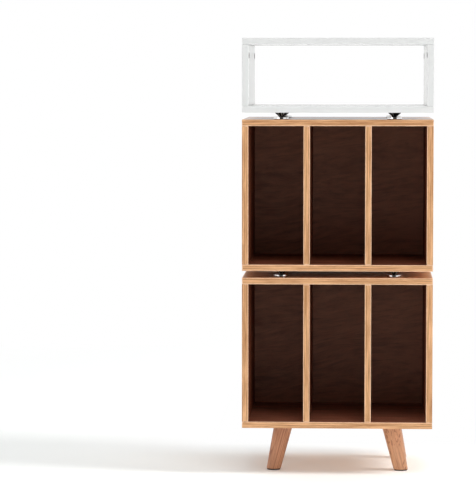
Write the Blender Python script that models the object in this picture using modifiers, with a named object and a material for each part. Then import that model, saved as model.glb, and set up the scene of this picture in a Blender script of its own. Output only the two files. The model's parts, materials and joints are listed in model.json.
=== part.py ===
"""Stereo cabinet: two record boxes and an open top module, stacked on spikes over splayed legs.

Units are metres and +Z is up. The open fronts face -Y and the origin is on the floor, under the centre.
"""

import math

import bmesh
import bpy
from mathutils import Matrix, Vector

# The three stacked modules
WIDTH = 0.475
DEPTH = 0.400
BOARD = 0.016
BOX_HEIGHT = 0.377
TOP_MODULE_HEIGHT = 0.185
SPIKE_GAP = 0.017
LEG_HEIGHT = 0.118

# The gap kept between pieces that touch, and how far a cut starts outside the face that it opens
CLEARANCE = 0.0003
OVERRUN = 0.004
BOARD_EDGE = 0.0008
BOARD_EDGE_STEPS = 2
SMOOTH_ANGLE = math.radians(35.0)
EDGE_ANGLE = math.radians(50.0)

# Back panel, let into grooves round the box
PANEL = 0.008
PANEL_RECESS = 0.014
GROOVE_DEPTH = 0.006

# Stopped tongues on the ends of the uprights, and the grooves that take them
TONGUE = 0.006
TONGUE_LENGTH = 0.006
TONGUE_STOP = 0.020

# Cam fittings that pull the top module's sides up to its top board
CAM_RADIUS = 0.0075
CAM_DEPTH = 0.0125
CAM_DROP = 0.027
CAM_INSET = 0.035
CAM_SIDES = 24
CAM_BOLT_RADIUS = 0.003
CAM_BOLT_SIDES = 12
CAM_BOLT_IN_BOARD = 0.010
CAM_BOLT_PAST_CENTRE = 0.0015
CAM_SLOT_LENGTH = 0.009
CAM_SLOT_WIDTH = 0.0015
CAM_SLOT_DEPTH = 0.0015

# Spikes with threaded studs, and the pads that they stand on
SPIKE_SIDE_INSET = 0.096
SPIKE_END_INSET = 0.055
SPIKE_RADIUS = 0.0155
SPIKE_RIM = 0.0010
SPIKE_TIP_RADIUS = 0.0048
SPIKE_TIP_ROUND = 0.0012
SPIKE_SIDES = 32
STUD_RADIUS = 0.003
STUD_LENGTH = 0.010
PAD_RADIUS = 0.019
PAD_THICKNESS = 0.0045
PAD_EDGE = 0.0008
PAD_SIDES = 32

# Legs, turned and tapered, leaning outwards to the sides
LEG_SIDE_INSET = 0.102
LEG_END_INSET = 0.095
LEG_SPLAY = math.radians(12.6)
LEG_TOP_RADIUS = 0.023
LEG_FOOT_RADIUS = 0.0176
LEG_EDGE = 0.0006
LEG_EDGE_STEPS = 2
LEG_SIDES = 32
GLIDE_RADIUS = 0.0168
GLIDE_THICKNESS = 0.003
GLIDE_EDGE = 0.0006

# Steel plate under each leg, with an angled boss for the bolt that the leg turns onto
PLATE_SIZE = 0.060
PLATE_THICKNESS = 0.003
PLATE_CORNER = 0.006
PLATE_CORNER_STEPS = 3
BOSS_RADIUS = 0.013
BOSS_REACH = 0.010
BOSS_SIDES = 24
LEG_BOLT_RADIUS = 0.004
LEG_BOLT_IN_BOSS = 0.0075
LEG_BOLT_IN_LEG = 0.030
LEG_BOLT_SIDES = 12
PLATE_SCREW_SPACING = 0.044
PLATE_SCREW_RADIUS = 0.002
PLATE_SCREW_IN_BOARD = 0.012
PLATE_SCREW_HEAD_RADIUS = 0.004
PLATE_SCREW_HEAD = 0.0022
PLATE_SCREW_SIDES = 10
PLATE_SCREW_HEAD_SIDES = 12

# Places that follow from the sizes above
LOWER_BASE = LEG_HEIGHT
UPPER_BASE = LOWER_BASE + BOX_HEIGHT + SPIKE_GAP
TOP_BASE = UPPER_BASE + BOX_HEIGHT + SPIKE_GAP
FRONT = -DEPTH / 2
REAR = DEPTH / 2
PANEL_FRONT = REAR - PANEL_RECESS - PANEL
SIDE_X = (WIDTH - BOARD) / 2
SPIKE_X = WIDTH / 2 - SPIKE_SIDE_INSET
SPIKE_Y = DEPTH / 2 - SPIKE_END_INSET
LEG_X = WIDTH / 2 - LEG_SIDE_INSET
LEG_Y = DEPTH / 2 - LEG_END_INSET
UPRIGHTS = ("left_side", "left_divider", "right_divider", "right_side")
CORNERS = (
    ("front_left", -1, -1),
    ("front_right", 1, -1),
    ("rear_left", -1, 1),
    ("rear_right", 1, 1),
)


def clear_scene():
    """Remove every object that is in the file."""
    for thing in list(bpy.data.objects):
        bpy.data.objects.remove(thing, do_unlink=True)


def make_collection(name):
    """Return a new collection that is linked to the scene."""
    collection = bpy.data.collections.new(name)
    bpy.context.scene.collection.children.link(collection)
    return collection


def make_finish(name, colour, roughness, metallic=0.0):
    """Return a Principled material with the colour, roughness and metallic value of one finish."""
    finish = bpy.data.materials.new(name)
    finish.use_nodes = True
    shader = finish.node_tree.nodes["Principled BSDF"]
    shader.inputs["Base Color"].default_value = (*colour, 1.0)
    shader.inputs["Roughness"].default_value = roughness
    shader.inputs["Metallic"].default_value = metallic
    finish.diffuse_color = (*colour, 1.0)
    return finish


def make_finishes():
    """Return the finishes, by name."""
    return {
        "honey_wood": make_finish("honey_wood", (0.66, 0.37, 0.18), 0.45),
        "leg_wood": make_finish("leg_wood", (0.62, 0.33, 0.16), 0.40),
        "walnut": make_finish("walnut", (0.25, 0.10, 0.066), 0.50),
        "white_lacquer": make_finish("white_lacquer", (0.80, 0.80, 0.79), 0.35),
        "black_metal": make_finish("black_metal", (0.012, 0.012, 0.013), 0.25, 1.0),
        "polished_steel": make_finish("polished_steel", (0.72, 0.72, 0.73), 0.10, 1.0),
        "zinc": make_finish("zinc", (0.55, 0.55, 0.56), 0.35, 1.0),
        "dark_plastic": make_finish("dark_plastic", (0.03, 0.028, 0.026), 0.60),
    }


def add_origin(name, place, collection):
    """Add an empty that carries one module, at the middle of the module's underside."""
    origin = bpy.data.objects.new(name, None)
    origin.location = place
    origin.empty_display_size = 0.05
    collection.objects.link(origin)
    return origin


def add_part(name, mesh, place, finish, parent, collection):
    """Add a mesh as the sub-part of that name, at a place in world coordinates."""
    part = bpy.data.objects.new(name, mesh)
    part.parent = parent
    part.location = Vector(place) - parent.location
    mesh.materials.clear()
    mesh.materials.append(finish)
    collection.objects.link(part)
    return part


def mesh_from(name, shape):
    """Return a mesh that holds a bmesh, which is freed."""
    mesh = bpy.data.meshes.new(name)
    shape.to_mesh(mesh)
    shape.free()
    return mesh


def add_box(shape, low, high):
    """Add a box from its low corner to its high corner to a bmesh and return its vertices."""
    low = Vector(low)
    high = Vector(high)
    place = Matrix.Translation((low + high) / 2) @ Matrix.Diagonal((*(high - low), 1.0))
    return bmesh.ops.create_cube(shape, size=1.0, matrix=place)["verts"]


def add_rod(shape, start, end, radius, sides):
    """Add a rod between two points to a bmesh."""
    start = Vector(start)
    end = Vector(end)
    turn = (end - start).to_track_quat("Z", "Y").to_matrix().to_4x4()
    place = Matrix.Translation((start + end) / 2) @ turn
    length = (end - start).length
    bmesh.ops.create_cone(
        shape, cap_ends=True, segments=sides, radius1=radius, radius2=radius, depth=length, matrix=place)


def smooth_mesh(mesh):
    """Shade a round mesh smooth, with its edges sharp."""
    mesh.shade_smooth()
    mesh.set_sharp_from_angle(angle=SMOOTH_ANGLE)


def turned_mesh(name, profile, sides):
    """Return a mesh turned round Z from a profile of (radius, height), outer side from top to bottom."""
    outline = bmesh.new()
    points = [outline.verts.new((radius, 0.0, height)) for radius, height in profile]
    for first, second in zip(points, points[1:]):
        outline.edges.new((first, second))
    lathe = bpy.data.objects.new(name + "_lathe", mesh_from(name + "_profile", outline))
    bpy.context.scene.collection.objects.link(lathe)
    screw = lathe.modifiers.new("turn", "SCREW")
    screw.steps = sides
    screw.render_steps = sides
    screw.use_merge_vertices = True
    screw.merge_threshold = 0.0001
    bpy.context.view_layer.update()
    evaluated = lathe.evaluated_get(bpy.context.evaluated_depsgraph_get())
    mesh = bpy.data.meshes.new_from_object(evaluated)
    mesh.name = name
    bpy.data.objects.remove(lathe, do_unlink=True)
    smooth_mesh(mesh)
    return mesh


def add_cutter(name, shape, collection):
    """Add a bmesh in world coordinates as a hidden cutter."""
    cutter = bpy.data.objects.new(name, mesh_from(name, shape))
    cutter.display_type = "WIRE"
    cutter.hide_render = True
    collection.objects.link(cutter)
    return cutter


def combine(part, helper, operation):
    """Cut a part by a helper solid, or join the helper to it, with a Boolean."""
    boolean = part.modifiers.new(f"{operation.lower()}_{helper.name}", "BOOLEAN")
    boolean.operation = operation
    boolean.solver = "EXACT"
    boolean.object = helper


def ease_edges(part, width, segments):
    """Round a part's square edges."""
    bevel = part.modifiers.new("eased_edges", "BEVEL")
    bevel.width = width
    bevel.segments = segments
    bevel.limit_method = "ANGLE"
    bevel.angle_limit = EDGE_ANGLE


class Workshop:
    """The finishes and collections that the parts of the cabinet share."""

    def __init__(self):
        self.parts = make_collection("stereo_cabinet")
        self.cutters = make_collection("cutters")
        self.finish = make_finishes()

    def cut(self, part, name, shape):
        """Cut a part by a bmesh in world coordinates."""
        combine(part, add_cutter(name, shape, self.cutters), "DIFFERENCE")

    def join(self, part, name, shape):
        """Join a bmesh in world coordinates to a part."""
        combine(part, add_cutter(name, shape, self.cutters), "UNION")

    def board(self, name, low, high, finish, parent):
        """Add a board with eased edges that fills a box in world coordinates."""
        low = Vector(low)
        high = Vector(high)
        half = (high - low) / 2
        shape = bmesh.new()
        add_box(shape, -half, half)
        board = add_part(name, mesh_from(name, shape), low + half, self.finish[finish], parent, self.parts)
        ease_edges(board, BOARD_EDGE, BOARD_EDGE_STEPS)
        return board

    def turned(self, name, profile, sides, place, finish, parent):
        """Add a turned part with its own origin at a place in world coordinates."""
        mesh = turned_mesh(name, profile, sides)
        return add_part(name, mesh, place, self.finish[finish], parent, self.parts)

    def rod(self, name, start, end, radius, sides, finish, parent):
        """Add a plain rod between two points in world coordinates, with its origin at the first."""
        shape = bmesh.new()
        add_rod(shape, (0.0, 0.0, 0.0), Vector(end) - Vector(start), radius, sides)
        mesh = mesh_from(name, shape)
        smooth_mesh(mesh)
        return add_part(name, mesh, start, self.finish[finish], parent, self.parts)


def upright_places():
    """Return the X of each upright of a record box, from left to right."""
    pitch = (WIDTH - BOARD) / (len(UPRIGHTS) - 1)
    return [-SIDE_X + pitch * number for number in range(len(UPRIGHTS))]


def add_tongue(shape, x, rear, face, outwards, gap):
    """Add a stopped tongue that crosses a face in Z, or its groove with a gap round it, to a bmesh."""
    half = TONGUE / 2 + gap
    ends = (face - outwards * OVERRUN, face + outwards * (TONGUE_LENGTH + gap))
    add_box(
        shape,
        (x - half, FRONT + TONGUE_STOP - gap, min(ends)),
        (x + half, rear - TONGUE_STOP + gap, max(ends)))


def drill_studs(shape, base):
    """Add the threaded holes for the four spikes in the underside of a module to a cutter."""
    for _, side, end in CORNERS:
        place = (side * SPIKE_X, end * SPIKE_Y)
        add_rod(
            shape, (*place, base - OVERRUN), (*place, base + STUD_LENGTH + CLEARANCE),
            STUD_RADIUS + CLEARANCE, SPIKE_SIDES)


def spike_profile():
    """Return the outline of a spike, hanging from the underside of its module at height 0."""
    top = -CLEARANCE
    tip = -(SPIKE_GAP - CLEARANCE - PAD_THICKNESS - CLEARANCE)
    return (
        (0.0, STUD_LENGTH),
        (STUD_RADIUS, STUD_LENGTH),
        (STUD_RADIUS, top),
        (SPIKE_RADIUS, top),
        (SPIKE_RADIUS, top - SPIKE_RIM),
        (SPIKE_TIP_RADIUS, tip + SPIKE_TIP_ROUND),
        (SPIKE_TIP_RADIUS / 2, tip),
        (0.0, tip),
    )


def disc_profile(radius, thickness, edge):
    """Return the outline of a flat disc with chamfered rims, standing on height 0."""
    return (
        (0.0, thickness),
        (radius - edge, thickness),
        (radius, thickness - edge),
        (radius, edge),
        (radius - edge, 0.0),
        (0.0, 0.0),
    )


def add_spikes(shop, level, base, carried, carrier):
    """Add the four spikes under a module, and the pads on the module below it."""
    pad_base = base - SPIKE_GAP + CLEARANCE
    pad_profile = disc_profile(PAD_RADIUS, PAD_THICKNESS, PAD_EDGE)
    for corner, side, end in CORNERS:
        x = side * SPIKE_X
        y = end * SPIKE_Y
        shop.turned(
            f"{level}_spike_{corner}", spike_profile(), SPIKE_SIDES, (x, y, base), "black_metal", carried)
        shop.turned(
            f"{level}_pad_{corner}", pad_profile, PAD_SIDES, (x, y, pad_base), "polished_steel", carrier)


def add_record_box(shop, box, base, origin, drill_underside):
    """Add the boards and the back panel of one record box."""
    ceiling = base + BOX_HEIGHT - BOARD
    floor = base + BOARD
    left, right = -WIDTH / 2, WIDTH / 2
    panel_low = (left + BOARD - GROOVE_DEPTH, PANEL_FRONT, floor - GROOVE_DEPTH)
    panel_high = (right - BOARD + GROOVE_DEPTH, PANEL_FRONT + PANEL, ceiling + GROOVE_DEPTH)
    shop.board(f"{box}_back_panel", panel_low, panel_high, "walnut", origin)

    top = shop.board(
        f"{box}_top_board", (left, FRONT, ceiling), (right, REAR, base + BOX_HEIGHT), "honey_wood", origin)
    bottom = shop.board(
        f"{box}_bottom_board", (left, FRONT, base), (right, REAR, floor), "honey_wood", origin)
    top_grooves = bmesh.new()
    bottom_grooves = bmesh.new()
    for x in upright_places():
        add_tongue(top_grooves, x, PANEL_FRONT, ceiling, 1, CLEARANCE)
        add_tongue(bottom_grooves, x, PANEL_FRONT, floor, -1, CLEARANCE)
    add_panel_space(top_grooves, panel_low, panel_high)
    add_panel_space(bottom_grooves, panel_low, panel_high)
    drill_underside(bottom_grooves, base)
    shop.cut(top, f"{box}_top_grooves", top_grooves)
    shop.cut(bottom, f"{box}_bottom_grooves", bottom_grooves)

    for name, x in zip(UPRIGHTS, upright_places()):
        is_side = name.endswith("side")
        upright = shop.board(
            f"{box}_{name}",
            (x - BOARD / 2, FRONT, floor + CLEARANCE),
            (x + BOARD / 2, REAR if is_side else PANEL_FRONT - CLEARANCE, ceiling - CLEARANCE),
            "honey_wood", origin)
        if is_side:
            groove = bmesh.new()
            add_panel_space(groove, panel_low, panel_high)
            shop.cut(upright, f"{box}_{name}_groove", groove)
        tongues = bmesh.new()
        add_tongue(tongues, x, PANEL_FRONT, ceiling, 1, 0.0)
        add_tongue(tongues, x, PANEL_FRONT, floor, -1, 0.0)
        shop.join(upright, f"{box}_{name}_tongues", tongues)


def add_panel_space(shape, low, high):
    """Add the space that a back panel fills, with its clearance, to a cutter."""
    gap = Vector((CLEARANCE, CLEARANCE, CLEARANCE))
    add_box(shape, Vector(low) - gap, Vector(high) + gap)


def cam_places():
    """Return the name, the side and the Y of each cam fitting in the top module."""
    return [(name, side, end * (REAR - CAM_INSET)) for name, side, end in CORNERS]


def add_top_module(shop, origin):
    """Add the boards and the cam fittings of the open top module."""
    left, right = -WIDTH / 2, WIDTH / 2
    floor = TOP_BASE + BOARD
    ceiling = TOP_BASE + TOP_MODULE_HEIGHT - BOARD
    top = shop.board(
        "top_module_top_board", (left, FRONT, ceiling), (right, REAR, ceiling + BOARD),
        "white_lacquer", origin)
    bottom = shop.board(
        "top_module_bottom_board", (left, FRONT, TOP_BASE), (right, REAR, floor),
        "white_lacquer", origin)
    bolt_holes = bmesh.new()
    grooves = bmesh.new()
    drill_studs(grooves, TOP_BASE)
    for name, side in (("left_side", -1), ("right_side", 1)):
        x = side * SIDE_X
        upright = shop.board(
            f"top_module_{name}",
            (x - BOARD / 2, FRONT, floor + CLEARANCE),
            (x + BOARD / 2, REAR, ceiling - CLEARANCE),
            "white_lacquer", origin)
        tongue = bmesh.new()
        add_tongue(tongue, x, REAR, floor, -1, 0.0)
        shop.join(upright, f"top_module_{name}_tongue", tongue)
        add_tongue(grooves, x, REAR, floor, -1, CLEARANCE)
        bores = bmesh.new()
        pockets = bmesh.new()
        for _, cam_side, y in cam_places():
            if cam_side == side:
                add_cam_bore(bores, side, y, ceiling)
                add_cam_bore(bolt_holes, side, y, ceiling)
                add_cam_pocket(pockets, side, y, ceiling)
        shop.cut(upright, f"top_module_{name}_bores", bores)
        shop.cut(upright, f"top_module_{name}_pockets", pockets)
    shop.cut(top, "top_module_bolt_holes", bolt_holes)
    shop.cut(bottom, "top_module_grooves", grooves)
    for name, side, y in cam_places():
        add_cam(shop, name, side, y, ceiling, origin)


def cam_bolt_ends(side, y, ceiling):
    """Return the top and the bottom of one cam bolt."""
    return (
        (side * SIDE_X, y, ceiling + CAM_BOLT_IN_BOARD),
        (side * SIDE_X, y, ceiling - CAM_DROP - CAM_BOLT_PAST_CENTRE),
    )


def add_cam_bore(shape, side, y, ceiling):
    """Add the bore that one cam bolt fills, with its clearance, to a cutter."""
    top, bottom = cam_bolt_ends(side, y, ceiling)
    gap = Vector((0.0, 0.0, CLEARANCE))
    add_rod(shape, Vector(top) + gap, Vector(bottom) - gap, CAM_BOLT_RADIUS + CLEARANCE, CAM_BOLT_SIDES)


def add_cam_pocket(shape, side, y, ceiling):
    """Add the round pocket for one cam housing in the inner face of a side board to a cutter."""
    face = side * (SIDE_X - BOARD / 2)
    height = ceiling - CAM_DROP
    mouth = (face - side * OVERRUN, y, height)
    end = (face + side * (CAM_DEPTH + CLEARANCE), y, height)
    add_rod(shape, mouth, end, CAM_RADIUS + CLEARANCE, CAM_SIDES)


def add_cam(shop, corner, side, y, ceiling, origin):
    """Add one cam housing, slotted for a screwdriver and flush with its board, and the bolt it pulls."""
    face = side * (SIDE_X - BOARD / 2)
    height = ceiling - CAM_DROP
    lock = shop.rod(
        f"cam_lock_{corner}", (face, y, height), (face + side * CAM_DEPTH, y, height),
        CAM_RADIUS, CAM_SIDES, "zinc", origin)
    bore = bmesh.new()
    add_cam_bore(bore, side, y, ceiling)
    shop.cut(lock, f"cam_lock_bore_{corner}", bore)
    slot = bmesh.new()
    slot_ends = (face - side * OVERRUN, face + side * CAM_SLOT_DEPTH)
    add_box(
        slot,
        (min(slot_ends), y - CAM_SLOT_LENGTH / 2, height - CAM_SLOT_WIDTH / 2),
        (max(slot_ends), y + CAM_SLOT_LENGTH / 2, height + CAM_SLOT_WIDTH / 2))
    shop.cut(lock, f"cam_lock_slot_{corner}", slot)
    top, bottom = cam_bolt_ends(side, y, ceiling)
    shop.rod(f"cam_bolt_{corner}", top, bottom, CAM_BOLT_RADIUS, CAM_BOLT_SIDES, "zinc", origin)


def leg_point(side, end, distance):
    """Return the point on a leg's axis at a distance down it from the lower box's underside."""
    top = Vector((side * LEG_X, end * LEG_Y, LEG_HEIGHT))
    down = Vector((side * math.sin(LEG_SPLAY), 0.0, -math.cos(LEG_SPLAY)))
    return top + down * distance


def leg_profile():
    """Return the outline of a leg, from past its plate to past the floor."""
    seat = BOSS_REACH + CLEARANCE
    floor = LEG_HEIGHT / math.cos(LEG_SPLAY)
    past = LEG_FOOT_RADIUS * math.tan(LEG_SPLAY) + OVERRUN
    taper = (LEG_TOP_RADIUS - LEG_FOOT_RADIUS) / (floor - seat)
    start_radius = LEG_TOP_RADIUS + taper * (seat + past)
    end_radius = LEG_FOOT_RADIUS - taper * past
    return (
        (0.0, past),
        (start_radius, past),
        (end_radius, -floor - past),
        (0.0, -floor - past),
    )


def add_leg(shop, corner, side, end, origin):
    """Add one turned leg, cut level under its plate and above its glide, and bored for its boss and bolt."""
    leg = shop.turned(
        f"leg_{corner}", leg_profile(), LEG_SIDES, leg_point(side, end, 0.0), "leg_wood", origin)
    leg.rotation_euler = (0.0, -side * LEG_SPLAY, 0.0)
    foot = leg_point(side, end, LEG_HEIGHT / math.cos(LEG_SPLAY))
    reach = LEG_TOP_RADIUS * 2
    below = bmesh.new()
    add_box(
        below,
        (foot.x - reach, foot.y - reach, -reach),
        (foot.x + reach, foot.y + reach, GLIDE_THICKNESS + CLEARANCE))
    shop.cut(leg, f"leg_foot_cut_{corner}", below)
    ease_edges(leg, LEG_EDGE, LEG_EDGE_STEPS)
    head = leg_point(side, end, 0.0)
    above = bmesh.new()
    add_box(
        above,
        (head.x - reach, head.y - reach, LEG_HEIGHT - PLATE_THICKNESS - 2 * CLEARANCE),
        (head.x + reach, head.y + reach, LEG_HEIGHT + reach))
    shop.cut(leg, f"leg_head_cut_{corner}", above)
    pocket = bmesh.new()
    add_rod(
        pocket, leg_point(side, end, -BOSS_REACH), leg_point(side, end, BOSS_REACH + CLEARANCE),
        BOSS_RADIUS + CLEARANCE, BOSS_SIDES)
    shop.cut(leg, f"leg_pocket_{corner}", pocket)
    bore = bmesh.new()
    add_rod(
        bore,
        leg_point(side, end, BOSS_REACH - OVERRUN),
        leg_point(side, end, BOSS_REACH + LEG_BOLT_IN_LEG + CLEARANCE),
        LEG_BOLT_RADIUS + CLEARANCE, LEG_BOLT_SIDES)
    shop.cut(leg, f"leg_bore_{corner}", bore)


def add_glide(shop, corner, side, end, origin):
    """Add the flat glide under one leg."""
    drop = LEG_HEIGHT - GLIDE_THICKNESS
    x = side * (LEG_X + drop * math.tan(LEG_SPLAY))
    profile = disc_profile(GLIDE_RADIUS, GLIDE_THICKNESS, GLIDE_EDGE)
    shop.turned(f"leg_glide_{corner}", profile, LEG_SIDES, (x, end * LEG_Y, 0.0), "dark_plastic", origin)


def plate_screw_places(side, end):
    """Return the X and Y of the four screws of one leg plate."""
    half = PLATE_SCREW_SPACING / 2
    return [(side * LEG_X + x, end * LEG_Y + y) for x in (-half, half) for y in (-half, half)]


def add_plate(shop, corner, side, end, origin):
    """Add one leg plate with its angled boss, its screws and the bore for the leg's bolt."""
    top = LEG_HEIGHT - CLEARANCE
    underside = top - PLATE_THICKNESS
    middle = Vector((side * LEG_X, end * LEG_Y, top - PLATE_THICKNESS / 2))
    half = Vector((PLATE_SIZE, PLATE_SIZE, PLATE_THICKNESS)) / 2
    shape = bmesh.new()
    add_box(shape, -half, half)
    corners = [edge for edge in shape.edges if abs(edge.verts[0].co.z - edge.verts[1].co.z) > half.z]
    bmesh.ops.bevel(
        shape, geom=corners, offset=PLATE_CORNER, segments=PLATE_CORNER_STEPS, profile=0.5, affect="EDGES")
    plate = add_part(
        f"leg_plate_{corner}", mesh_from("leg_plate", shape), middle, shop.finish["zinc"], origin, shop.parts)

    boss_shape = bmesh.new()
    add_rod(
        boss_shape, leg_point(side, end, -BOSS_REACH), leg_point(side, end, BOSS_REACH),
        BOSS_RADIUS, BOSS_SIDES)
    boss = add_cutter(f"leg_plate_boss_{corner}", boss_shape, shop.cutters)
    above = bmesh.new()
    add_box(
        above,
        (middle.x - PLATE_SIZE, middle.y - PLATE_SIZE, middle.z),
        (middle.x + PLATE_SIZE, middle.y + PLATE_SIZE, LEG_HEIGHT + 2 * BOSS_REACH))
    shop.cut(boss, f"leg_plate_boss_trim_{corner}", above)
    combine(plate, boss, "UNION")

    shanks = bmesh.new()
    heads = bmesh.new()
    for x, y in plate_screw_places(side, end):
        shank_top = (x, y, LEG_HEIGHT + PLATE_SCREW_IN_BOARD)
        add_rod(shanks, (x, y, middle.z), shank_top, PLATE_SCREW_RADIUS, PLATE_SCREW_SIDES)
        head_end = (x, y, underside - PLATE_SCREW_HEAD)
        add_rod(heads, (x, y, middle.z), head_end, PLATE_SCREW_HEAD_RADIUS, PLATE_SCREW_HEAD_SIDES)
    shop.join(plate, f"leg_plate_shanks_{corner}", shanks)
    shop.join(plate, f"leg_plate_heads_{corner}", heads)

    bore = bmesh.new()
    add_rod(
        bore, leg_point(side, end, -BOSS_REACH), leg_point(side, end, BOSS_REACH + OVERRUN),
        LEG_BOLT_RADIUS + CLEARANCE, LEG_BOLT_SIDES)
    shop.cut(plate, f"leg_plate_bore_{corner}", bore)


def drill_plate_screws(shape, base):
    """Add the pilot holes for the leg plates' screws in the lower box's underside to a cutter."""
    for _, side, end in CORNERS:
        for place in plate_screw_places(side, end):
            add_rod(
                shape, (*place, base - OVERRUN), (*place, base + PLATE_SCREW_IN_BOARD + CLEARANCE),
                PLATE_SCREW_RADIUS + CLEARANCE, PLATE_SCREW_SIDES)


def add_stand(shop, origin):
    """Add the four legs with their plates, bolts and glides."""
    for corner, side, end in CORNERS:
        add_plate(shop, corner, side, end, origin)
        add_leg(shop, corner, side, end, origin)
        add_glide(shop, corner, side, end, origin)
        shop.rod(
            f"leg_bolt_{corner}",
            leg_point(side, end, BOSS_REACH - LEG_BOLT_IN_BOSS),
            leg_point(side, end, BOSS_REACH + LEG_BOLT_IN_LEG),
            LEG_BOLT_RADIUS, LEG_BOLT_SIDES, "zinc", origin)


def main():
    """Model the cabinet, module by module, from the floor up."""
    clear_scene()
    shop = Workshop()
    lower_box = add_origin("lower_box_origin", (0.0, 0.0, LOWER_BASE), shop.parts)
    upper_box = add_origin("upper_box_origin", (0.0, 0.0, UPPER_BASE), shop.parts)
    top_module = add_origin("top_module_origin", (0.0, 0.0, TOP_BASE), shop.parts)
    add_stand(shop, lower_box)
    add_record_box(shop, "lower_box", LOWER_BASE, lower_box, drill_plate_screws)
    add_record_box(shop, "upper_box", UPPER_BASE, upper_box, drill_studs)
    add_spikes(shop, "lower", UPPER_BASE, upper_box, lower_box)
    add_top_module(shop, top_module)
    add_spikes(shop, "upper", TOP_BASE, top_module, upper_box)


if __name__ == "__main__":
    main()
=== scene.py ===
"""Looks of a stereo cabinet: two record boxes and an open top module on spikes and splayed legs.

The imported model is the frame. Each sub-assembly below models its pieces in that frame, in metres,
gives them their finishes, and lets them ride on the body that carries them.
"""

import json
import logging
import math
from collections.abc import Callable, Iterator, Sequence
from contextlib import contextmanager
from dataclasses import dataclass, replace
from enum import Enum

import bmesh
import bpy
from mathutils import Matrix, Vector

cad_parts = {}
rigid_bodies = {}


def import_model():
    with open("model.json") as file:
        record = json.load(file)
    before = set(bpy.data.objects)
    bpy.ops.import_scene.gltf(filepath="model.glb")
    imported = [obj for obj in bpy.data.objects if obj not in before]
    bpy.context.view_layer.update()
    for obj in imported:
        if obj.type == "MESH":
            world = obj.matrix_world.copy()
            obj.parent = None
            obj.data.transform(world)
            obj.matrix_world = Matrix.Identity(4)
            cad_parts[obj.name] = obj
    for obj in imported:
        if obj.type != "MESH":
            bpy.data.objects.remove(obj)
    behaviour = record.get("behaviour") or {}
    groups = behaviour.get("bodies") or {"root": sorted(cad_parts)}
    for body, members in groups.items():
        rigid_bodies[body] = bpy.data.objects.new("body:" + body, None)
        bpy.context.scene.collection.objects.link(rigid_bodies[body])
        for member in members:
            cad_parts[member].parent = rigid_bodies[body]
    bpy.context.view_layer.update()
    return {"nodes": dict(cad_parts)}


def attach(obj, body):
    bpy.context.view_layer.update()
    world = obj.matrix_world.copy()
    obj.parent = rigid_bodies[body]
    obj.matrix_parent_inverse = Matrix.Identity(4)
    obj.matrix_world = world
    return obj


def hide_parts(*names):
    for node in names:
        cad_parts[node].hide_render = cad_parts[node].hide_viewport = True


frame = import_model()

LOG = logging.getLogger("stereo_cabinet")

Colour = tuple[float, float, float]
Outline = Sequence[tuple[float, float]]
Tone = tuple[float, float]
Box = tuple[Vector, Vector]

CABINET_WIDTH = 0.475
UPPER_BOX_LIFT = 0.394
CLEARANCE = 0.0003
OVERRUN = 0.004
SMOOTH_ANGLE = math.radians(35.0)
SOFT_ANGLE = math.radians(50.0)
EDGE_MARK = "edge"
RADIUS_MARK = "turning"
OUTWARD_MARK = "outward"
TONE_MARK = "tone"
# Share of the edge mark on outward edges, which get little wear and painted highlight.
OUTER_EDGE_SHARE = 0.1
SAME_WAY = 0.99
ON_TOP = 1e-5
ON_PLANE = 1e-6


class Side(Enum):
    """The six ways that a face of a square piece can look."""

    LEFT = (-1.0, 0.0, 0.0)
    RIGHT = (1.0, 0.0, 0.0)
    FRONT = (0.0, -1.0, 0.0)
    REAR = (0.0, 1.0, 0.0)
    UNDER = (0.0, 0.0, -1.0)
    TOP = (0.0, 0.0, 1.0)

    @property
    def way(self) -> Vector:
        """The way as a vector."""
        return Vector(self.value)

    def faces(self, normal: Vector) -> bool:
        """Return whether a normal looks this way."""
        return normal.dot(self.way) > SAME_WAY


INNER_SIDES = {
    "top_board": Side.UNDER, "bottom_board": Side.TOP,
    "left_side": Side.RIGHT, "right_side": Side.LEFT}


class Operation(Enum):
    """What a helper solid does to a piece."""

    CUT = "DIFFERENCE"
    JOIN = "UNION"


@dataclass(frozen=True)
class Corner:
    """One of the four corners of the cabinet, with the signs of its X and Y."""

    name: str
    side: int
    end: int


CORNERS = (
    Corner("front_left", -1, -1), Corner("front_right", 1, -1),
    Corner("rear_left", -1, 1), Corner("rear_right", 1, 1))


def ring_of(x: float, y: float) -> tuple[tuple[float, float], ...]:
    """Return the place at each corner that lies x and y away from the middle."""
    return tuple((corner.side * x, corner.end * y) for corner in CORNERS)


# Bench work: selecting, shaping and cutting pieces with Blender's own operators


def put_down_all() -> None:
    """Deselect every object and leave none active."""
    for thing in bpy.context.view_layer.objects:
        if thing.select_get():
            thing.select_set(False)
    bpy.context.view_layer.objects.active = None


def pick_up(piece: bpy.types.Object) -> None:
    """Make one piece the only selected object and the active one.

    Args:
        piece: The object to work on.
    """
    put_down_all()
    piece.select_set(True)
    bpy.context.view_layer.objects.active = piece


@contextmanager
def shaping(piece: bpy.types.Object, element: str = "FACE",
            start: str = "SELECT") -> Iterator[None]:
    """Hold a piece in edit mode, and leave edit mode at the end.

    Args:
        piece: The object to shape.
        element: What is selected: VERT, EDGE or FACE.
        start: SELECT to start with all of it selected, DESELECT with nothing.
    """
    pick_up(piece)
    bpy.ops.object.mode_set(mode="EDIT")
    bpy.ops.mesh.select_mode(type=element)
    bpy.ops.mesh.select_all(action=start)
    try:
        yield
    finally:
        bpy.ops.object.mode_set(mode="OBJECT")


def select_edges(piece: bpy.types.Object, test: Callable[[Vector, Vector], bool]) -> None:
    """Select the edges of a piece in edit mode whose two ends pass a test.

    Args:
        piece: The object in edit mode.
        test: Says whether an edge between two points is wanted.
    """
    shape = bmesh.from_edit_mesh(piece.data)
    for edge in shape.edges:
        edge.select_set(test(edge.verts[0].co, edge.verts[1].co))
    bmesh.update_edit_mesh(piece.data)


def apply(piece: bpy.types.Object, modifier: bpy.types.Modifier) -> None:
    """Apply one modifier of a piece."""
    pick_up(piece)
    bpy.ops.object.modifier_apply(modifier=modifier.name)


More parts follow.
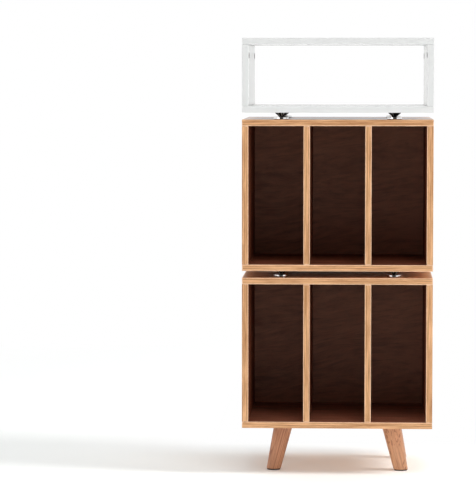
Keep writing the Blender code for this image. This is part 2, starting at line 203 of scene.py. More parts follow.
def combine(piece: bpy.types.Object, helper: bpy.types.Object, operation: Operation) -> None:
    """Cut a helper solid out of a piece, or join it on, and remove the helper.

    Args:
        piece: The object that is changed.
        helper: The solid to cut with or to join.
        operation: Whether the helper cuts or joins.
    """
    boolean = piece.modifiers.new("combine", "BOOLEAN")
    boolean.operation = operation.value
    boolean.solver = "EXACT"
    boolean.object = helper
    apply(piece, boolean)
    bpy.data.objects.remove(helper, do_unlink=True)


def soften(piece: bpy.types.Object, width: float, steps: int) -> None:
    """Round every sharp edge of a piece.

    Args:
        piece: The object to soften.
        width: The width of the rounding.
        steps: How many faces make the rounding.
    """
    bevel = piece.modifiers.new("soften", "BEVEL")
    bevel.width = width
    bevel.segments = steps
    bevel.limit_method = "ANGLE"
    bevel.angle_limit = SOFT_ANGLE
    apply(piece, bevel)


def settle(name: str) -> bpy.types.Object:
    """Name the new active object, and put its place and turn into its mesh.

    Args:
        name: The object's name.

    Returns:
        The object, at the origin.
    """
    piece = bpy.context.object
    bpy.ops.object.transform_apply(location=True, rotation=True, scale=True)
    piece.name = name
    piece.data.name = name
    return piece


def block(name: str, low: Vector, high: Vector) -> bpy.types.Object:
    """Add a plain block between two corners, as the start of a piece or as a cutter.

    Args:
        name: The object's name.
        low: Its lowest corner.
        high: Its highest corner.

    Returns:
        The block.
    """
    put_down_all()
    bpy.ops.mesh.primitive_cube_add(size=1.0, location=(low + high) / 2, scale=high - low)
    return settle(name)


def rod(start: Vector, end: Vector, radius: float, sides: int) -> bpy.types.Object:
    """Add a plain rod between two points, as a cutter.

    Args:
        start: One end of its axis.
        end: The other end.
        radius: Its radius.
        sides: How many sides it has.

    Returns:
        The rod.
    """
    put_down_all()
    axis = end - start
    bpy.ops.mesh.primitive_cylinder_add(
        vertices=sides, radius=radius, depth=axis.length, location=(start + end) / 2,
        rotation=axis.to_track_quat("Z", "Y").to_euler())
    return settle("rod_cutter")


def cut_block(piece: bpy.types.Object, low: Vector, high: Vector) -> None:
    """Cut a square space out of a piece, between two corners."""
    combine(piece, block("groove_cutter", low, high), Operation.CUT)


def join_block(piece: bpy.types.Object, low: Vector, high: Vector) -> None:
    """Join a square tongue to a piece, between two corners."""
    combine(piece, block("tongue", low, high), Operation.JOIN)


def bore(piece: bpy.types.Object, start: Vector, end: Vector, radius: float,
         sides: int = 32) -> None:
    """Bore a round hole in a piece, between two points."""
    combine(piece, rod(start, end, radius, sides), Operation.CUT)


def turned(name: str, foot: Vector, outline: Outline, sides: int) -> bpy.types.Object:
    """Turn a round piece: a disc is extruded along its axis and resized at each step.

    Args:
        name: The object's name.
        foot: The point on the axis from which heights are measured.
        outline: Pairs of radius and height, from one end to the other.
        sides: How many sides it has.

    Returns:
        The turned piece, closed at both ends, with its axis upright.
    """
    put_down_all()
    radius, height = outline[0]
    bpy.ops.mesh.primitive_circle_add(
        vertices=sides, radius=radius, fill_type="NGON",
        location=foot + Vector((0.0, 0.0, height)))
    piece = settle(name)
    with shaping(piece):
        for next_radius, next_height in outline[1:]:
            rise = (0.0, 0.0, next_height - height)
            bpy.ops.mesh.extrude_region_move(TRANSFORM_OT_translate={"value": rise})
            share = next_radius / radius
            bpy.ops.transform.resize(value=(share, share, 1.0), center_override=foot)
            radius, height = next_radius, next_height
        bpy.ops.mesh.select_all(action="SELECT")
        bpy.ops.mesh.normals_make_consistent(inside=False)
    return piece


def copied(piece: bpy.types.Object, name: str, shift: Vector) -> bpy.types.Object:
    """Copy a piece with a mesh of its own, and move the copy.

    Args:
        piece: The object to copy.
        name: The copy's name.
        shift: How far the copy is moved.

    Returns:
        The copy.
    """
    pick_up(piece)
    bpy.ops.object.duplicate(linked=False)
    twin = bpy.context.object
    twin.name = name
    twin.data.name = name
    with shaping(twin):
        bpy.ops.transform.translate(value=shift)
    return twin


def mirrored(piece: bpy.types.Object, name: str) -> bpy.types.Object:
    """Copy a piece to the other side of the cabinet's middle, with a mesh of its own.

    Args:
        piece: The object to copy.
        name: The copy's name.

    Returns:
        The mirrored copy.
    """
    twin = copied(piece, name, Vector())
    with shaping(twin):
        bpy.ops.transform.resize(value=(-1.0, 1.0, 1.0), center_override=(0.0, 0.0, 0.0))
        bpy.ops.mesh.normals_make_consistent(inside=False)
    return twin


def at_corners(front_left: bpy.types.Object, stem: str,
               end_y: float) -> dict[str, bpy.types.Object]:
    """Copy the front left piece of a set to the other three corners.

    Args:
        front_left: The piece to copy.
        stem: The name that the set shares.
        end_y: The distance of the pieces from the middle of the cabinet's depth.

    Returns:
        The four pieces, by the names of their corners.
    """
    backwards = Vector((0.0, 2 * end_y, 0.0))
    front_right = mirrored(front_left, f"{stem}_front_right_finished")
    return {
        "front_left": front_left,
        "front_right": front_right,
        "rear_left": copied(front_left, f"{stem}_rear_left_finished", backwards),
        "rear_right": copied(front_right, f"{stem}_rear_right_finished", backwards),
    }


def mark_edges(piece: bpy.types.Object, low: Vector, high: Vector, reach: float,
               inner: Sequence[Side]) -> None:
    """Store how near each vertex of a square piece is to the nearest of its twelve long edges.

    Edges that frame an opening are marked most, for wear and a painted highlight by dark openings.

    Args:
        piece: The object to mark.
        low: The lowest corner of its block.
        high: The highest corner of its block.
        reach: The distance from an edge at which the mark falls to 0.
        inner: The ways that the faces towards an opening look.
    """
    marks = piece.data.attributes
    mark = marks.get(EDGE_MARK) or marks.new(EDGE_MARK, "FLOAT", "POINT")
    middle, half = (low + high) / 2, (high - low) / 2
    for number, vertex in enumerate(piece.data.vertices):
        place = vertex.co - middle
        gaps = sorted(half[axis] - abs(place[axis]) for axis in range(3))
        past = max(
            (place.dot(side.way) - abs(half.dot(side.way)) for side in inner), default=-1.0)
        share = 1.0 if past > -reach else OUTER_EDGE_SHARE
        mark.data[number].value = share * max(0.0, 1.0 - gaps[1] / reach)


def corners_of(piece: bpy.types.Object) -> Box:
    """Measure a piece's box.

    Args:
        piece: The object to measure.

    Returns:
        Its lowest and highest corner.
    """
    places = [vertex.co for vertex in piece.data.vertices]
    low = Vector(min(place[axis] for place in places) for axis in range(3))
    high = Vector(max(place[axis] for place in places) for axis in range(3))
    return low, high


def mark_tone(piece: bpy.types.Object, tone: Tone, top_painted_light: Tone | None = None) -> None:
    """Store how much lighter, above 0, or darker, below 0, a piece is drawn, end to end.

    Args:
        piece: The object to mark.
        tone: Its tones at the cabinet's left and right ends.
        top_painted_light: The tones of its top face, where they differ: painted light and shade.
    """
    mark = piece.data.attributes.new(TONE_MARK, "FLOAT", "POINT")
    top = corners_of(piece)[1].z
    for number, vertex in enumerate(piece.data.vertices):
        left, right = top_painted_light if top_painted_light and top - vertex.co.z < ON_TOP else tone
        share = 0.5 + vertex.co.x / CABINET_WIDTH
        mark.data[number].value = left + (right - left) * share


def mark_turning(piece: bpy.types.Object, axis: Vector) -> None:
    """Store each vertex's distance and way out from the upright axis of a turned piece.

    Args:
        piece: The object to mark.
        axis: A point on its axis.
    """
    distance = piece.data.attributes.new(RADIUS_MARK, "FLOAT", "POINT")
    outwards = piece.data.attributes.new(OUTWARD_MARK, "FLOAT_VECTOR", "POINT")
    for number, vertex in enumerate(piece.data.vertices):
        away = (vertex.co - axis).xy
        distance.data[number].value = away.length
        outwards.data[number].vector = (*away.normalized(), 0.0)


def shade(piece: bpy.types.Object) -> None:
    """Shade a piece smooth, with its sharp edges and its wide flat faces kept.

    Args:
        piece: The object to shade.
    """
    pick_up(piece)
    bpy.ops.object.shade_smooth_by_angle(angle=SMOOTH_ANGLE)
    weighted = piece.modifiers.new("flat_faces", "WEIGHTED_NORMAL")
    weighted.keep_sharp = True
    apply(piece, weighted)


# Finishes: effect groups that several materials share, and the materials themselves


NOISE_RANGE = (0.3, 0.7)
EITHER_WAY = (-0.5, 0.5)


@dataclass(frozen=True)
class Grain:
    """Noise with its scales along X and across it, the range that counts and what it gives."""

    along: float
    across: float
    detail: float = 2.0
    counts: tuple[float, float] = NOISE_RANGE
    gives: tuple[float, float] = (0.0, 1.0)


UNEVEN_RINGS = Grain(1.6, 26.0, counts=(0.0, 1.0), gives=(0.0, 2.2))
LATE_WOOD = Grain(9.0, 90.0, 1.0, gives=(0.3, 1.6))
FIBRE = Grain(13.0, 200.0, 4.0, gives=EITHER_WAY)
PORE = Grain(60.0, 1500.0, 1.0, counts=(0.60, 0.70))
CLOUD = Grain(2.0, 16.0, 3.0, gives=EITHER_WAY)
RIPPLE = Grain(22.0, 110.0, 3.0, gives=EITHER_WAY)
FLECK = Grain(110.0, 260.0, 0.0, counts=(0.60, 0.66))
FLECKED_PATCH = Grain(14.0, 30.0, 0.0, counts=(0.48, 0.55))
RUB_AND_HIGHLIGHT_PATCH = Grain(90.0, 90.0, 3.0, counts=(0.35, 0.65), gives=(0.55, 1.0))
TURNED_SPOT = Grain(240.0, 240.0)

DRIFT_SCALE = (2.4, 7.0, 7.0)
ACROSS_GRAIN = (0.0, 1.0, 1.0)
RING_SHARPNESS = 2.6
BASE_TONE = 0.3
PORE_DIP, TONE_DIP = 0.7, 0.3
PORE_DULLING, FIBRE_DULLING = 0.15, 0.10
RUB_AND_HIGHLIGHT_BAND = (0.15, 0.62)
STREAK_BAND = (0.56, 0.64)
STREAK_SCALE = 9.0
RELIEF_STRENGTH = 0.5
METAL_RELIEF_STRENGTH = 0.4


class Graph:
    """Adds nodes to one node tree and joins them."""

    def __init__(self, tree: bpy.types.NodeTree) -> None:
        """Work on a node tree."""
        self.tree = tree

    def add(self, kind: str, **settings: object) -> bpy.types.Node:
        """Add a node.

        Args:
            kind: The node's type name.
            settings: Properties to set on it.

        Returns:
            The new node.
        """
        node = self.tree.nodes.new(kind)
        for name, value in settings.items():
            setattr(node, name, value)
        return node

    def feed(self, socket: bpy.types.NodeSocket, value: object) -> None:
        """Link an input to an output, or set the input's own value.

        Args:
            socket: The input.
            value: An output, a number, a vector or a colour.
        """
        if isinstance(value, bpy.types.NodeSocket):
            self.tree.links.new(value, socket)
        elif socket.type == "RGBA":
            socket.default_value = (*value, 1.0)
        else:
            socket.default_value = value

    def join(self, kind: str, values: Sequence[object], **settings: object) -> bpy.types.Node:
        """Add a node and feed its inputs in their order.

        Args:
            kind: The node's type name.
            values: A value for each of its first inputs.
            settings: Properties to set on it.

        Returns:
            The new node.
        """
        node = self.add(kind, **settings)
        for number, value in enumerate(values):
            self.feed(node.inputs[number], value)
        return node

    def math(self, operation: str, first: object, second: object = 0.0) -> bpy.types.NodeSocket:
        """Return the result of a Math node on two values."""
        return self.join("ShaderNodeMath", (first, second), operation=operation).outputs[0]

    def vector(self, operation: str, first: object, second: object) -> bpy.types.NodeSocket:
        """Return the result of a Vector Math node on two vectors."""
        return self.join("ShaderNodeVectorMath", (first, second), operation=operation).outputs[0]

    def length(self, place: object) -> bpy.types.NodeSocket:
        """Return the length of a vector."""
        return self.join("ShaderNodeVectorMath", (place,), operation="LENGTH").outputs["Value"]

    def scaled(self, place: object, factor: object) -> bpy.types.NodeSocket:
        """Scale a vector.

        Args:
            place: The vector.
            factor: The number that it is scaled by.

        Returns:
            The scaled vector.
        """
        node = self.join("ShaderNodeVectorMath", (place,), operation="SCALE")
        self.feed(node.inputs["Scale"], factor)
        return node.outputs[0]

    def noise(self, place: object, detail: float = 2.0,
              output: str = "Fac") -> bpy.types.NodeSocket:
        """Add a noise texture.

        Args:
            place: The place that it is read at, scaled already.
            detail: How fine it gets.
            output: Which of its outputs is wanted.

        Returns:
            The output.
        """
        node = self.add("ShaderNodeTexNoise")
        for name, value in (("Vector", place), ("Scale", 1.0), ("Detail", detail)):
            self.feed(node.inputs[name], value)
        return node.outputs[output]

    def streaks(self, place: object, grain: Grain) -> bpy.types.NodeSocket:
        """Add the noise of a grain.

        Args:
            place: The place that it is read at.
            grain: Its scales and ranges.

        Returns:
            The noise, in the range that the grain gives.
        """
        scale = (grain.along, grain.across, grain.across)
        noise = self.noise(self.vector("MULTIPLY", place, scale), grain.detail)
        return self.stretch(noise, *grain.counts, *grain.gives)

    def stretch(self, value: object, low: float, high: float,
                first: float = 0.0, last: float = 1.0) -> bpy.types.NodeSocket:
        """Carry a value from one range to another, and hold it inside.

        Args:
            value: The value.
            low: The start of the range that it comes from.
            high: The end of that range.
            first: What low becomes.
            last: What high becomes.

        Returns:
            The carried value.
        """
        node = self.add("ShaderNodeMapRange", clamp=True)
        for name, number in (
                ("Value", value), ("From Min", low), ("From Max", high),
                ("To Min", first), ("To Max", last)):
            self.feed(node.inputs[name], number)
        return node.outputs["Result"]

    def add_up(self, total: object, *parts: tuple[object, object]) -> bpy.types.NodeSocket:
        """Add products to a number.

        Args:
            total: The number to start from.
            parts: Pairs of values, each multiplied and added.

        Returns:
            The sum.
        """
        for value, share in parts:
            total = self.math("ADD", total, self.math("MULTIPLY", value, share))
        return total

    def mix(self, share: object, first: object, second: object) -> bpy.types.NodeSocket:
        """Mix two colours.

        Args:
            share: The share of the second.
            first: One colour.
            second: The other colour.

        Returns:
            The mixed colour.
        """
        node = self.add("ShaderNodeMix", data_type="RGBA")
        self.feed(node.inputs["Factor"], share)
        colours = [socket for socket in node.inputs if socket.type == "RGBA"]
        self.feed(colours[0], first)
        self.feed(colours[1], second)
        return next(socket for socket in node.outputs if socket.type == "RGBA")

    def blend(self, share: object, first: object, second: object) -> bpy.types.NodeSocket:
        """Return a mix of two shaders."""
        return self.join("ShaderNodeMixShader", (share, first, second)).outputs[0]

    def seen_directly(self) -> bpy.types.NodeSocket:
        """Tell rays that see a surface directly from those that carry light.

        Returns:
            1 for rays from the camera, or mirrored or let through by a piece, else 0.
        """
        path = self.add("ShaderNodeLightPath").outputs
        seen = self.math("MAXIMUM", path["Is Camera Ray"], path["Is Glossy Ray"])
        return self.math("MAXIMUM", seen, path["Is Transmission Ray"])

    def group(self, tree: bpy.types.NodeTree, **inputs: object) -> bpy.types.Node:
        """Place an effect group and feed its named inputs.

        Args:
            tree: The effect group.
            inputs: A value for each input, with its spaces written as underscores.

        Returns:
            The group node.
        """
        node = self.add("ShaderNodeGroup", node_tree=tree)
        for name, value in inputs.items():
            self.feed(node.inputs[name.replace("_", " ")], value)
        return node


class Effect:
    """An effect group under construction, with its named inputs and outputs."""

    KINDS = {"value": "NodeSocketFloat", "vector": "NodeSocketVector", "colour": "NodeSocketColor"}

    def __init__(self, name: str, inputs: dict[str, str], outputs: dict[str, str]) -> None:
        """Make an empty group.

        Args:
            name: The group's name.
            inputs: The kind of each input: value, vector or colour.
            outputs: The kind of each output.
        """
        self.tree = bpy.data.node_groups.new(name, "ShaderNodeTree")
        for way, sockets in (("INPUT", inputs), ("OUTPUT", outputs)):
            for title, kind in sockets.items():
                self.tree.interface.new_socket(
                    name=title, in_out=way, socket_type=self.KINDS[kind])
        self.graph = Graph(self.tree)
        self.inputs = self.graph.add("NodeGroupInput").outputs
        self.outputs = self.graph.add("NodeGroupOutput").inputs

    def finish(self, **results: bpy.types.NodeSocket) -> bpy.types.NodeTree:
        """Feed the group's outputs.

        Args:
            results: A value for each output.

        Returns:
            The finished group.
        """
        for title, value in results.items():
            self.graph.feed(self.outputs[title], value)
        return self.tree


def wood_figure() -> bpy.types.NodeTree:
    """Draw rings, fibres, pores and clouds, with the grain along X.

    Returns:
        The effect group.
    """
    shares = ("Rings", "Fibres", "Pores", "Clouds", "Ripples", "Flecks")
    effect = Effect(
        "wood_figure",
        {"Place": "vector", "Light": "colour", "Dark": "colour"}
        | {title: "value" for title in ("Ring Width", "Waviness", *shares, "Tone")},
        {"Colour": "colour", "Height": "value", "Roughness": "value"})
    graph, given = effect.graph, effect.inputs
    place = given["Place"]
    drift = graph.noise(graph.vector("MULTIPLY", place, DRIFT_SCALE), output="Color")
    drift = graph.vector("SUBTRACT", drift, (0.5, 0.5, 0.5))
    drift = graph.vector("MULTIPLY", drift, ACROSS_GRAIN)
    bent = graph.vector("ADD", place, graph.scaled(drift, given["Waviness"]))
    radius = graph.length(graph.vector("MULTIPLY", bent, ACROSS_GRAIN))
    count = graph.math("DIVIDE", radius, given["Ring Width"])
    ring = graph.math("FRACT", graph.math("ADD", count, graph.streaks(place, UNEVEN_RINGS)))
    late = graph.math("POWER", ring, RING_SHARPNESS)
    late = graph.math("MULTIPLY", late, graph.streaks(place, LATE_WOOD))
    fibre, pore, ripple = (graph.streaks(bent, grain) for grain in (FIBRE, PORE, RIPPLE))
    cloud, fleck, patch = (
        graph.streaks(place, grain) for grain in (CLOUD, FLECK, FLECKED_PATCH))
    fleck = graph.math("MULTIPLY", fleck, patch)
    parts = (late, fibre, pore, cloud, ripple, fleck)
    tone = graph.add_up(BASE_TONE, *zip(parts, (given[share] for share in shares)))
    tone = graph.stretch(graph.math("SUBTRACT", tone, given["Tone"]), 0.0, 1.0)
    return effect.finish(
        Colour=graph.mix(tone, given["Light"], given["Dark"]),
        Height=graph.add_up(1.0, (pore, -PORE_DIP), (tone, -TONE_DIP)),
        Roughness=graph.add_up(0.0, (pore, PORE_DULLING), (fibre, FIBRE_DULLING)))


def edge_wear() -> bpy.types.NodeTree:
    """Lighten a finish along a piece's eased edges: partly wear, partly a painted highlight.

    Returns:
        The effect group.
    """
    effect = Effect(
        "edge_wear",
        {"Place": "vector", "Edge": "value", "Colour": "colour", "Rubbed": "colour",
         "Amount": "value"},
        {"Colour": "colour"})
    graph, given = effect.graph, effect.inputs
    patches = graph.streaks(given["Place"], RUB_AND_HIGHLIGHT_PATCH)
    mask = graph.math("MULTIPLY", graph.stretch(given["Edge"], *RUB_AND_HIGHLIGHT_BAND), patches)
    mask = graph.stretch(graph.math("MULTIPLY", mask, given["Amount"]), 0.0, 1.0)
    return effect.finish(Colour=graph.mix(mask, given["Colour"], given["Rubbed"]))


def fine_mottle() -> bpy.types.NodeTree:
    """Give a smooth finish its slight unevenness, broad and fine.

    Returns:
        The effect group.
    """
    effect = Effect(
        "fine_mottle", {"Place": "vector", "Broad": "value", "Fine": "value"},
        {"Tone": "value", "Height": "value"})
    graph, given = effect.graph, effect.inputs
    broad, fine = (
        graph.noise(graph.scaled(given["Place"], given[title]), 3.0)
        for title in ("Broad", "Fine"))
    return effect.finish(Tone=graph.stretch(broad, *NOISE_RANGE), Height=fine)


def turning_marks() -> bpy.types.NodeTree:
    """Draw the fine rings that a lathe tool leaves round an axis.

    Returns:
        The effect group.
    """
    effect = Effect(
        "turning_marks", {"Radius": "value", "Pitch": "value", "Place": "vector"},
        {"Height": "value", "Tone": "value"})
    graph, given = effect.graph, effect.inputs
    turns = graph.math("DIVIDE", given["Radius"], given["Pitch"])
    wave = graph.math("SINE", graph.math("MULTIPLY", turns, 2.0 * math.pi))
    return effect.finish(
        Height=graph.stretch(wave, -1.0, 1.0), Tone=graph.streaks(given["Place"], TURNED_SPOT))


def polish_streaks() -> bpy.types.NodeTree:
    """Paint light streaks down a turned piece's flanks, each its own: a painted reflection.

    Returns:
        The effect group.
    """
    effect = Effect(
        "polish_streaks", {"Outward": "vector", "Place": "vector", "Width": "value"},
        {"Streak": "value"})
    graph, given = effect.graph, effect.inputs
    around = graph.scaled(given["Outward"], graph.math("DIVIDE", 1.0, given["Width"]))
    spot = graph.vector("ADD", around, graph.scaled(given["Place"], STREAK_SCALE))
    return effect.finish(Streak=graph.stretch(graph.noise(spot, 1.0), *STREAK_BAND))


@dataclass(frozen=True)
class Effects:
    """The effect groups, built once."""

    wood: bpy.types.NodeTree
    rub_and_highlight: bpy.types.NodeTree
    mottle: bpy.types.NodeTree
    turning: bpy.types.NodeTree
    streaks: bpy.types.NodeTree

    @classmethod
    def build(cls) -> "Effects":
        """Build every group."""
        return cls(wood_figure(), edge_wear(), fine_mottle(), turning_marks(), polish_streaks())


class Coat:
    """A material under construction: its graph, its Principled shader and its place on a piece."""

    def __init__(self, name: str, preview: Colour) -> None:
        """Make a material.

        Args:
            name: The material's name.
            preview: Its plain colour in the viewport.
        """
        self.material = bpy.data.materials.new(name)
        self.material.use_nodes = True
        self.material.diffuse_color = (*preview, 1.0)
        self.graph = Graph(self.material.node_tree)
        self.shader = self.material.node_tree.nodes["Principled BSDF"]
        self.place = self.graph.add("ShaderNodeTexCoord").outputs["Object"]

    def set(self, **values: float) -> None:
        """Set plain numbers on the shader, with spaces in their names written as underscores."""
        for name, value in values.items():
            self.shader.inputs[name.replace("_", " ")].default_value = value

    def link(self, title: str, value: bpy.types.NodeSocket) -> None:
        """Link one input of the shader."""
        self.graph.feed(self.shader.inputs[title], value)

    def attribute(self, name: str, output: str = "Fac") -> bpy.types.NodeSocket:
        """Read a mark that is stored on a piece.

        Args:
            name: The mark's name.
            output: Fac for a number, Vector for a vector.

        Returns:
            The mark, which is 0 on a piece that has none.
        """
        node = self.graph.add(
            "ShaderNodeAttribute", attribute_type="GEOMETRY", attribute_name=name)
        return node.outputs[output]

    def bump(self, height: bpy.types.NodeSocket, depth: float,
             strength: float = RELIEF_STRENGTH) -> None:
        """Raise the surface by a height.

        Args:
            height: The height, from 0 to 1.
            depth: What a height of 1 stands for, in metres.
            strength: How strongly it shows.
        """
        node = self.graph.add("ShaderNodeBump")
        node.inputs["Distance"].default_value = depth
        node.inputs["Strength"].default_value = strength
        self.graph.feed(node.inputs["Height"], height)
        self.link("Normal", node.outputs["Normal"])


@dataclass(frozen=True)
class Finish:
    """A finish of some colour, with a second colour that it varies towards."""

    name: str
    colour: Colour
    shade: Colour

    def make(self, effects: Effects) -> bpy.types.Material:
        """Make the finish's material.

        Args:
            effects: The shared effect groups.

        Returns:
            The finished material.
        """
        coat = Coat(self.name, self.colour)
        self.dress(coat, effects)
        return coat.material

    def dress(self, coat: Coat, effects: Effects) -> None:
        """Give a material this finish, which each kind of finish does its own way."""
        raise NotImplementedError


@dataclass(frozen=True)
class Timber(Finish):
    """Wood or veneer, with its grain turned to run along the piece.

    The turn and the shift bring the piece's own coordinates to those of the log, where the grain
    runs along X and the pith is the X axis.
    """

    rubbed_and_lit: Colour
    turn: tuple[float, float, float]
    shift: tuple[float, float, float]
    ring_width: float = 0.0034
    waviness: float = 0.030
    rings: float = 0.55
    fibres: float = 0.35
    pores: float = 0.30
    clouds: float = 0.35
    ripples: float = 0.0
    flecks: float = 0.0
    rub_and_highlight: float = 0.55
    roughness: float = 0.46
    specular: float = 0.5
    sheen: float = 0.0
    sheen_roughness: float = 0.08
    relief: float = 0.00025

    def dress(self, coat: Coat, effects: Effects) -> None:
        """Draw the figure, lighten the edges with wear and a painted highlight, and set the gloss.

        Args:
            coat: The material under construction.
            effects: The shared effect groups.
        """
        graph = coat.graph
        mapping = graph.add("ShaderNodeMapping")
        graph.feed(mapping.inputs["Vector"], coat.place)
        mapping.inputs["Rotation"].default_value = self.turn
        mapping.inputs["Location"].default_value = self.shift
        figure = graph.group(
            effects.wood, Place=mapping.outputs["Vector"], Light=self.colour, Dark=self.shade,
            Ring_Width=self.ring_width, Waviness=self.waviness, Rings=self.rings,
            Fibres=self.fibres, Pores=self.pores, Clouds=self.clouds, Ripples=self.ripples,
            Flecks=self.flecks, Tone=coat.attribute(TONE_MARK)).outputs
        # The edges are lightened, partly as wear and partly as a painted highlight.
        worn_and_lit = graph.group(
            effects.rub_and_highlight, Place=coat.place, Edge=coat.attribute(EDGE_MARK),
            Colour=figure["Colour"], Rubbed=self.rubbed_and_lit, Amount=self.rub_and_highlight)
        coat.link("Base Color", worn_and_lit.outputs["Colour"])
        coat.link("Roughness", graph.math("ADD", figure["Roughness"], self.roughness))
        coat.set(
            Specular_IOR_Level=self.specular, Coat_Weight=self.sheen,
            Coat_Roughness=self.sheen_roughness)
        coat.bump(figure["Height"], self.relief)


@dataclass(frozen=True)
class Lacquer(Finish):
    """A sprayed finish on board, with a faint orange peel."""

    rubbed_and_lit: Colour
    roughness: float = 0.35
    peel: float = 0.00003
    broad: float = 7.0
    fine: float = 520.0
    rub_and_highlight: float = 0.8
    gloss_drift: float = 0.04

    def dress(self, coat: Coat, effects: Effects) -> None:
        """Vary the colour and the gloss a little, and lighten the edges: wear and painted
        highlight.

        Args:
            coat: The material under construction.
            effects: The shared effect groups.
        """
        graph = coat.graph
        mottle = graph.group(
            effects.mottle, Place=coat.place, Broad=self.broad, Fine=self.fine).outputs
        # The edges are lightened, partly as wear and partly as a painted highlight.
        worn_and_lit = graph.group(
            effects.rub_and_highlight, Place=coat.place, Edge=coat.attribute(EDGE_MARK),
            Colour=graph.mix(mottle["Tone"], self.colour, self.shade), Rubbed=self.rubbed_and_lit,
            Amount=self.rub_and_highlight)
        coat.link("Base Color", worn_and_lit.outputs["Colour"])
        dullest, glossiest = self.roughness - self.gloss_drift, self.roughness + self.gloss_drift
        coat.link("Roughness", graph.stretch(mottle["Tone"], 0.0, 1.0, dullest, glossiest))
        coat.bump(mottle["Height"], self.peel)


@dataclass(frozen=True)
class Metal(Finish):
    """A metal, a gloss paint on metal or a plastic, turned, plated or polished."""

    roughness: float
    metallic: float = 1.0
    specular: float = 0.5
    pitch: float = 0.0004
    relief: float = 0.00001
    broad: float = 60.0
    fine: float = 900.0
    is_turned: bool = True
    glint: Colour | None = None
    streak_width: float = 0.45
    gloss_span: tuple[float, float] = (0.8, 1.2)

    def dress(self, coat: Coat, effects: Effects) -> None:
        """Draw the turning marks or the mottle, the painted reflection streaks and the gloss.

        Args:
            coat: The material under construction.
            effects: The shared effect groups.
        """
        graph = coat.graph
        if self.is_turned:
            marks = graph.group(
                effects.turning, Radius=coat.attribute(RADIUS_MARK), Pitch=self.pitch,
                Place=coat.place).outputs
        else:
            marks = graph.group(
                effects.mottle, Place=coat.place, Broad=self.broad, Fine=self.fine).outputs
        tone = marks["Tone"]
        colour = graph.mix(tone, self.colour, self.shade)
        # The glint streaks are a painted reflection mixed into the colour.
        if self.glint:
            streaks = graph.group(
                effects.streaks, Outward=coat.attribute(OUTWARD_MARK, "Vector"),
                Place=coat.place, Width=self.streak_width)
            colour = graph.mix(streaks.outputs["Streak"], colour, self.glint)
        coat.link("Base Color", colour)
        span = (self.roughness * share for share in self.gloss_span)
        coat.link("Roughness", graph.stretch(tone, 0.0, 1.0, *span))
        coat.set(Metallic=self.metallic, Specular_IOR_Level=self.specular)
        coat.bump(marks["Height"], self.relief, METAL_RELIEF_STRENGTH)


ACROSS = (0.0, 0.0, 0.0)
UPWARD = (0.0, math.pi / 2, 0.0)
SPLAY = math.radians(12.6)

# After its shade, each wood and lacquer finish gives its edge colour: wear and a painted highlight.
HONEY_ACROSS = Timber(
    "honey_wood_across", (0.93, 0.53, 0.275), (0.46, 0.205, 0.080), (1.0, 0.66, 0.43), ACROSS,
    (0.0, -0.06, 0.35), ring_width=0.0045, waviness=0.010, rings=0.9, fibres=0.8, rub_and_highlight=1.0,
    specular=0.3)
HONEY_TOP = replace(HONEY_ACROSS, name="honey_wood_top", specular=0.1, sheen=0.58)
HONEY_SHEEN = replace(HONEY_ACROSS, name="honey_wood_sheen", sheen=0.08, sheen_roughness=0.30)
HONEY_UPWARD = replace(
    HONEY_ACROSS, name="honey_wood_upward", turn=UPWARD, shift=(0.0, 0.04, 0.90))
WALNUT_ACROSS = Timber(
    "walnut_across", (0.36, 0.115, 0.058), (0.11, 0.032, 0.016), (0.45, 0.16, 0.085), ACROSS,
    (0.0, -0.10, 0.30), ring_width=0.006, roughness=0.55, specular=0.05)
# A lighter copy of the walnut, painted light on the lower box's floors, with more gloss.
WALNUT_FLOOR_PAINTED_LIGHT = replace(
    WALNUT_ACROSS, name="walnut_floor", colour=(0.46, 0.160, 0.088), shade=(0.14, 0.046, 0.026),
    roughness=0.45, specular=0.25)
WALNUT_UPWARD = replace(
    WALNUT_ACROSS, name="walnut_upward", turn=UPWARD, shift=(0.0, 0.05, 0.70))
WALNUT_PANEL = replace(
    WALNUT_ACROSS, name="walnut_panel", colour=(0.50, 0.195, 0.104), shade=(0.19, 0.064, 0.032),
    turn=(0.0, math.radians(7.0), 0.0), shift=(0.0, 0.02, 0.15), ring_width=0.030,
    waviness=0.12, rings=0.10, fibres=0.25, clouds=0.30, ripples=0.45, roughness=0.50,
    specular=0.45)
# A darker copy of the panel walnut: painted shade on the back panel's rear face.
WALNUT_REAR_PAINTED_SHADE = replace(
    WALNUT_PANEL, name="walnut_rear", colour=(0.24, 0.088, 0.050), shade=(0.10, 0.034, 0.019),
    roughness=0.55, specular=0.2)
LEG_RIGHT = Timber(
    "leg_wood_right", (0.84, 0.46, 0.26), (0.48, 0.21, 0.11), (0.90, 0.56, 0.36),
    (0.0, math.pi / 2 + SPLAY, 0.0), (0.035, 0.03, 0.06), ring_width=0.0045, waviness=0.012,
    rings=0.3, fibres=0.5, flecks=0.9)
# A darker copy of the leg wood: painted shade on the left legs, which stand in the cabinet's shade.
LEG_LEFT_PAINTED_SHADE = replace(
    LEG_RIGHT, name="leg_wood_left", colour=(0.73, 0.37, 0.205), shade=(0.40, 0.16, 0.082),
    turn=(0.0, math.pi / 2 - SPLAY, 0.0), shift=(0.0, 0.03, -0.06), rings=0.6, fibres=0.6,
    flecks=0.0)
WHITE = Lacquer(
    "white_lacquer", (0.84, 0.84, 0.838), (0.825, 0.825, 0.82), (0.90, 0.90, 0.90))
# A lighter copy of the white lacquer, painted light on the module's inner faces, with more gloss.
WHITE_INSIDE_PAINTED_LIGHT = Lacquer(
    "white_lacquer_inside", (0.93, 0.93, 0.925), (0.915, 0.915, 0.91), (0.97, 0.97, 0.97),
    roughness=0.22)
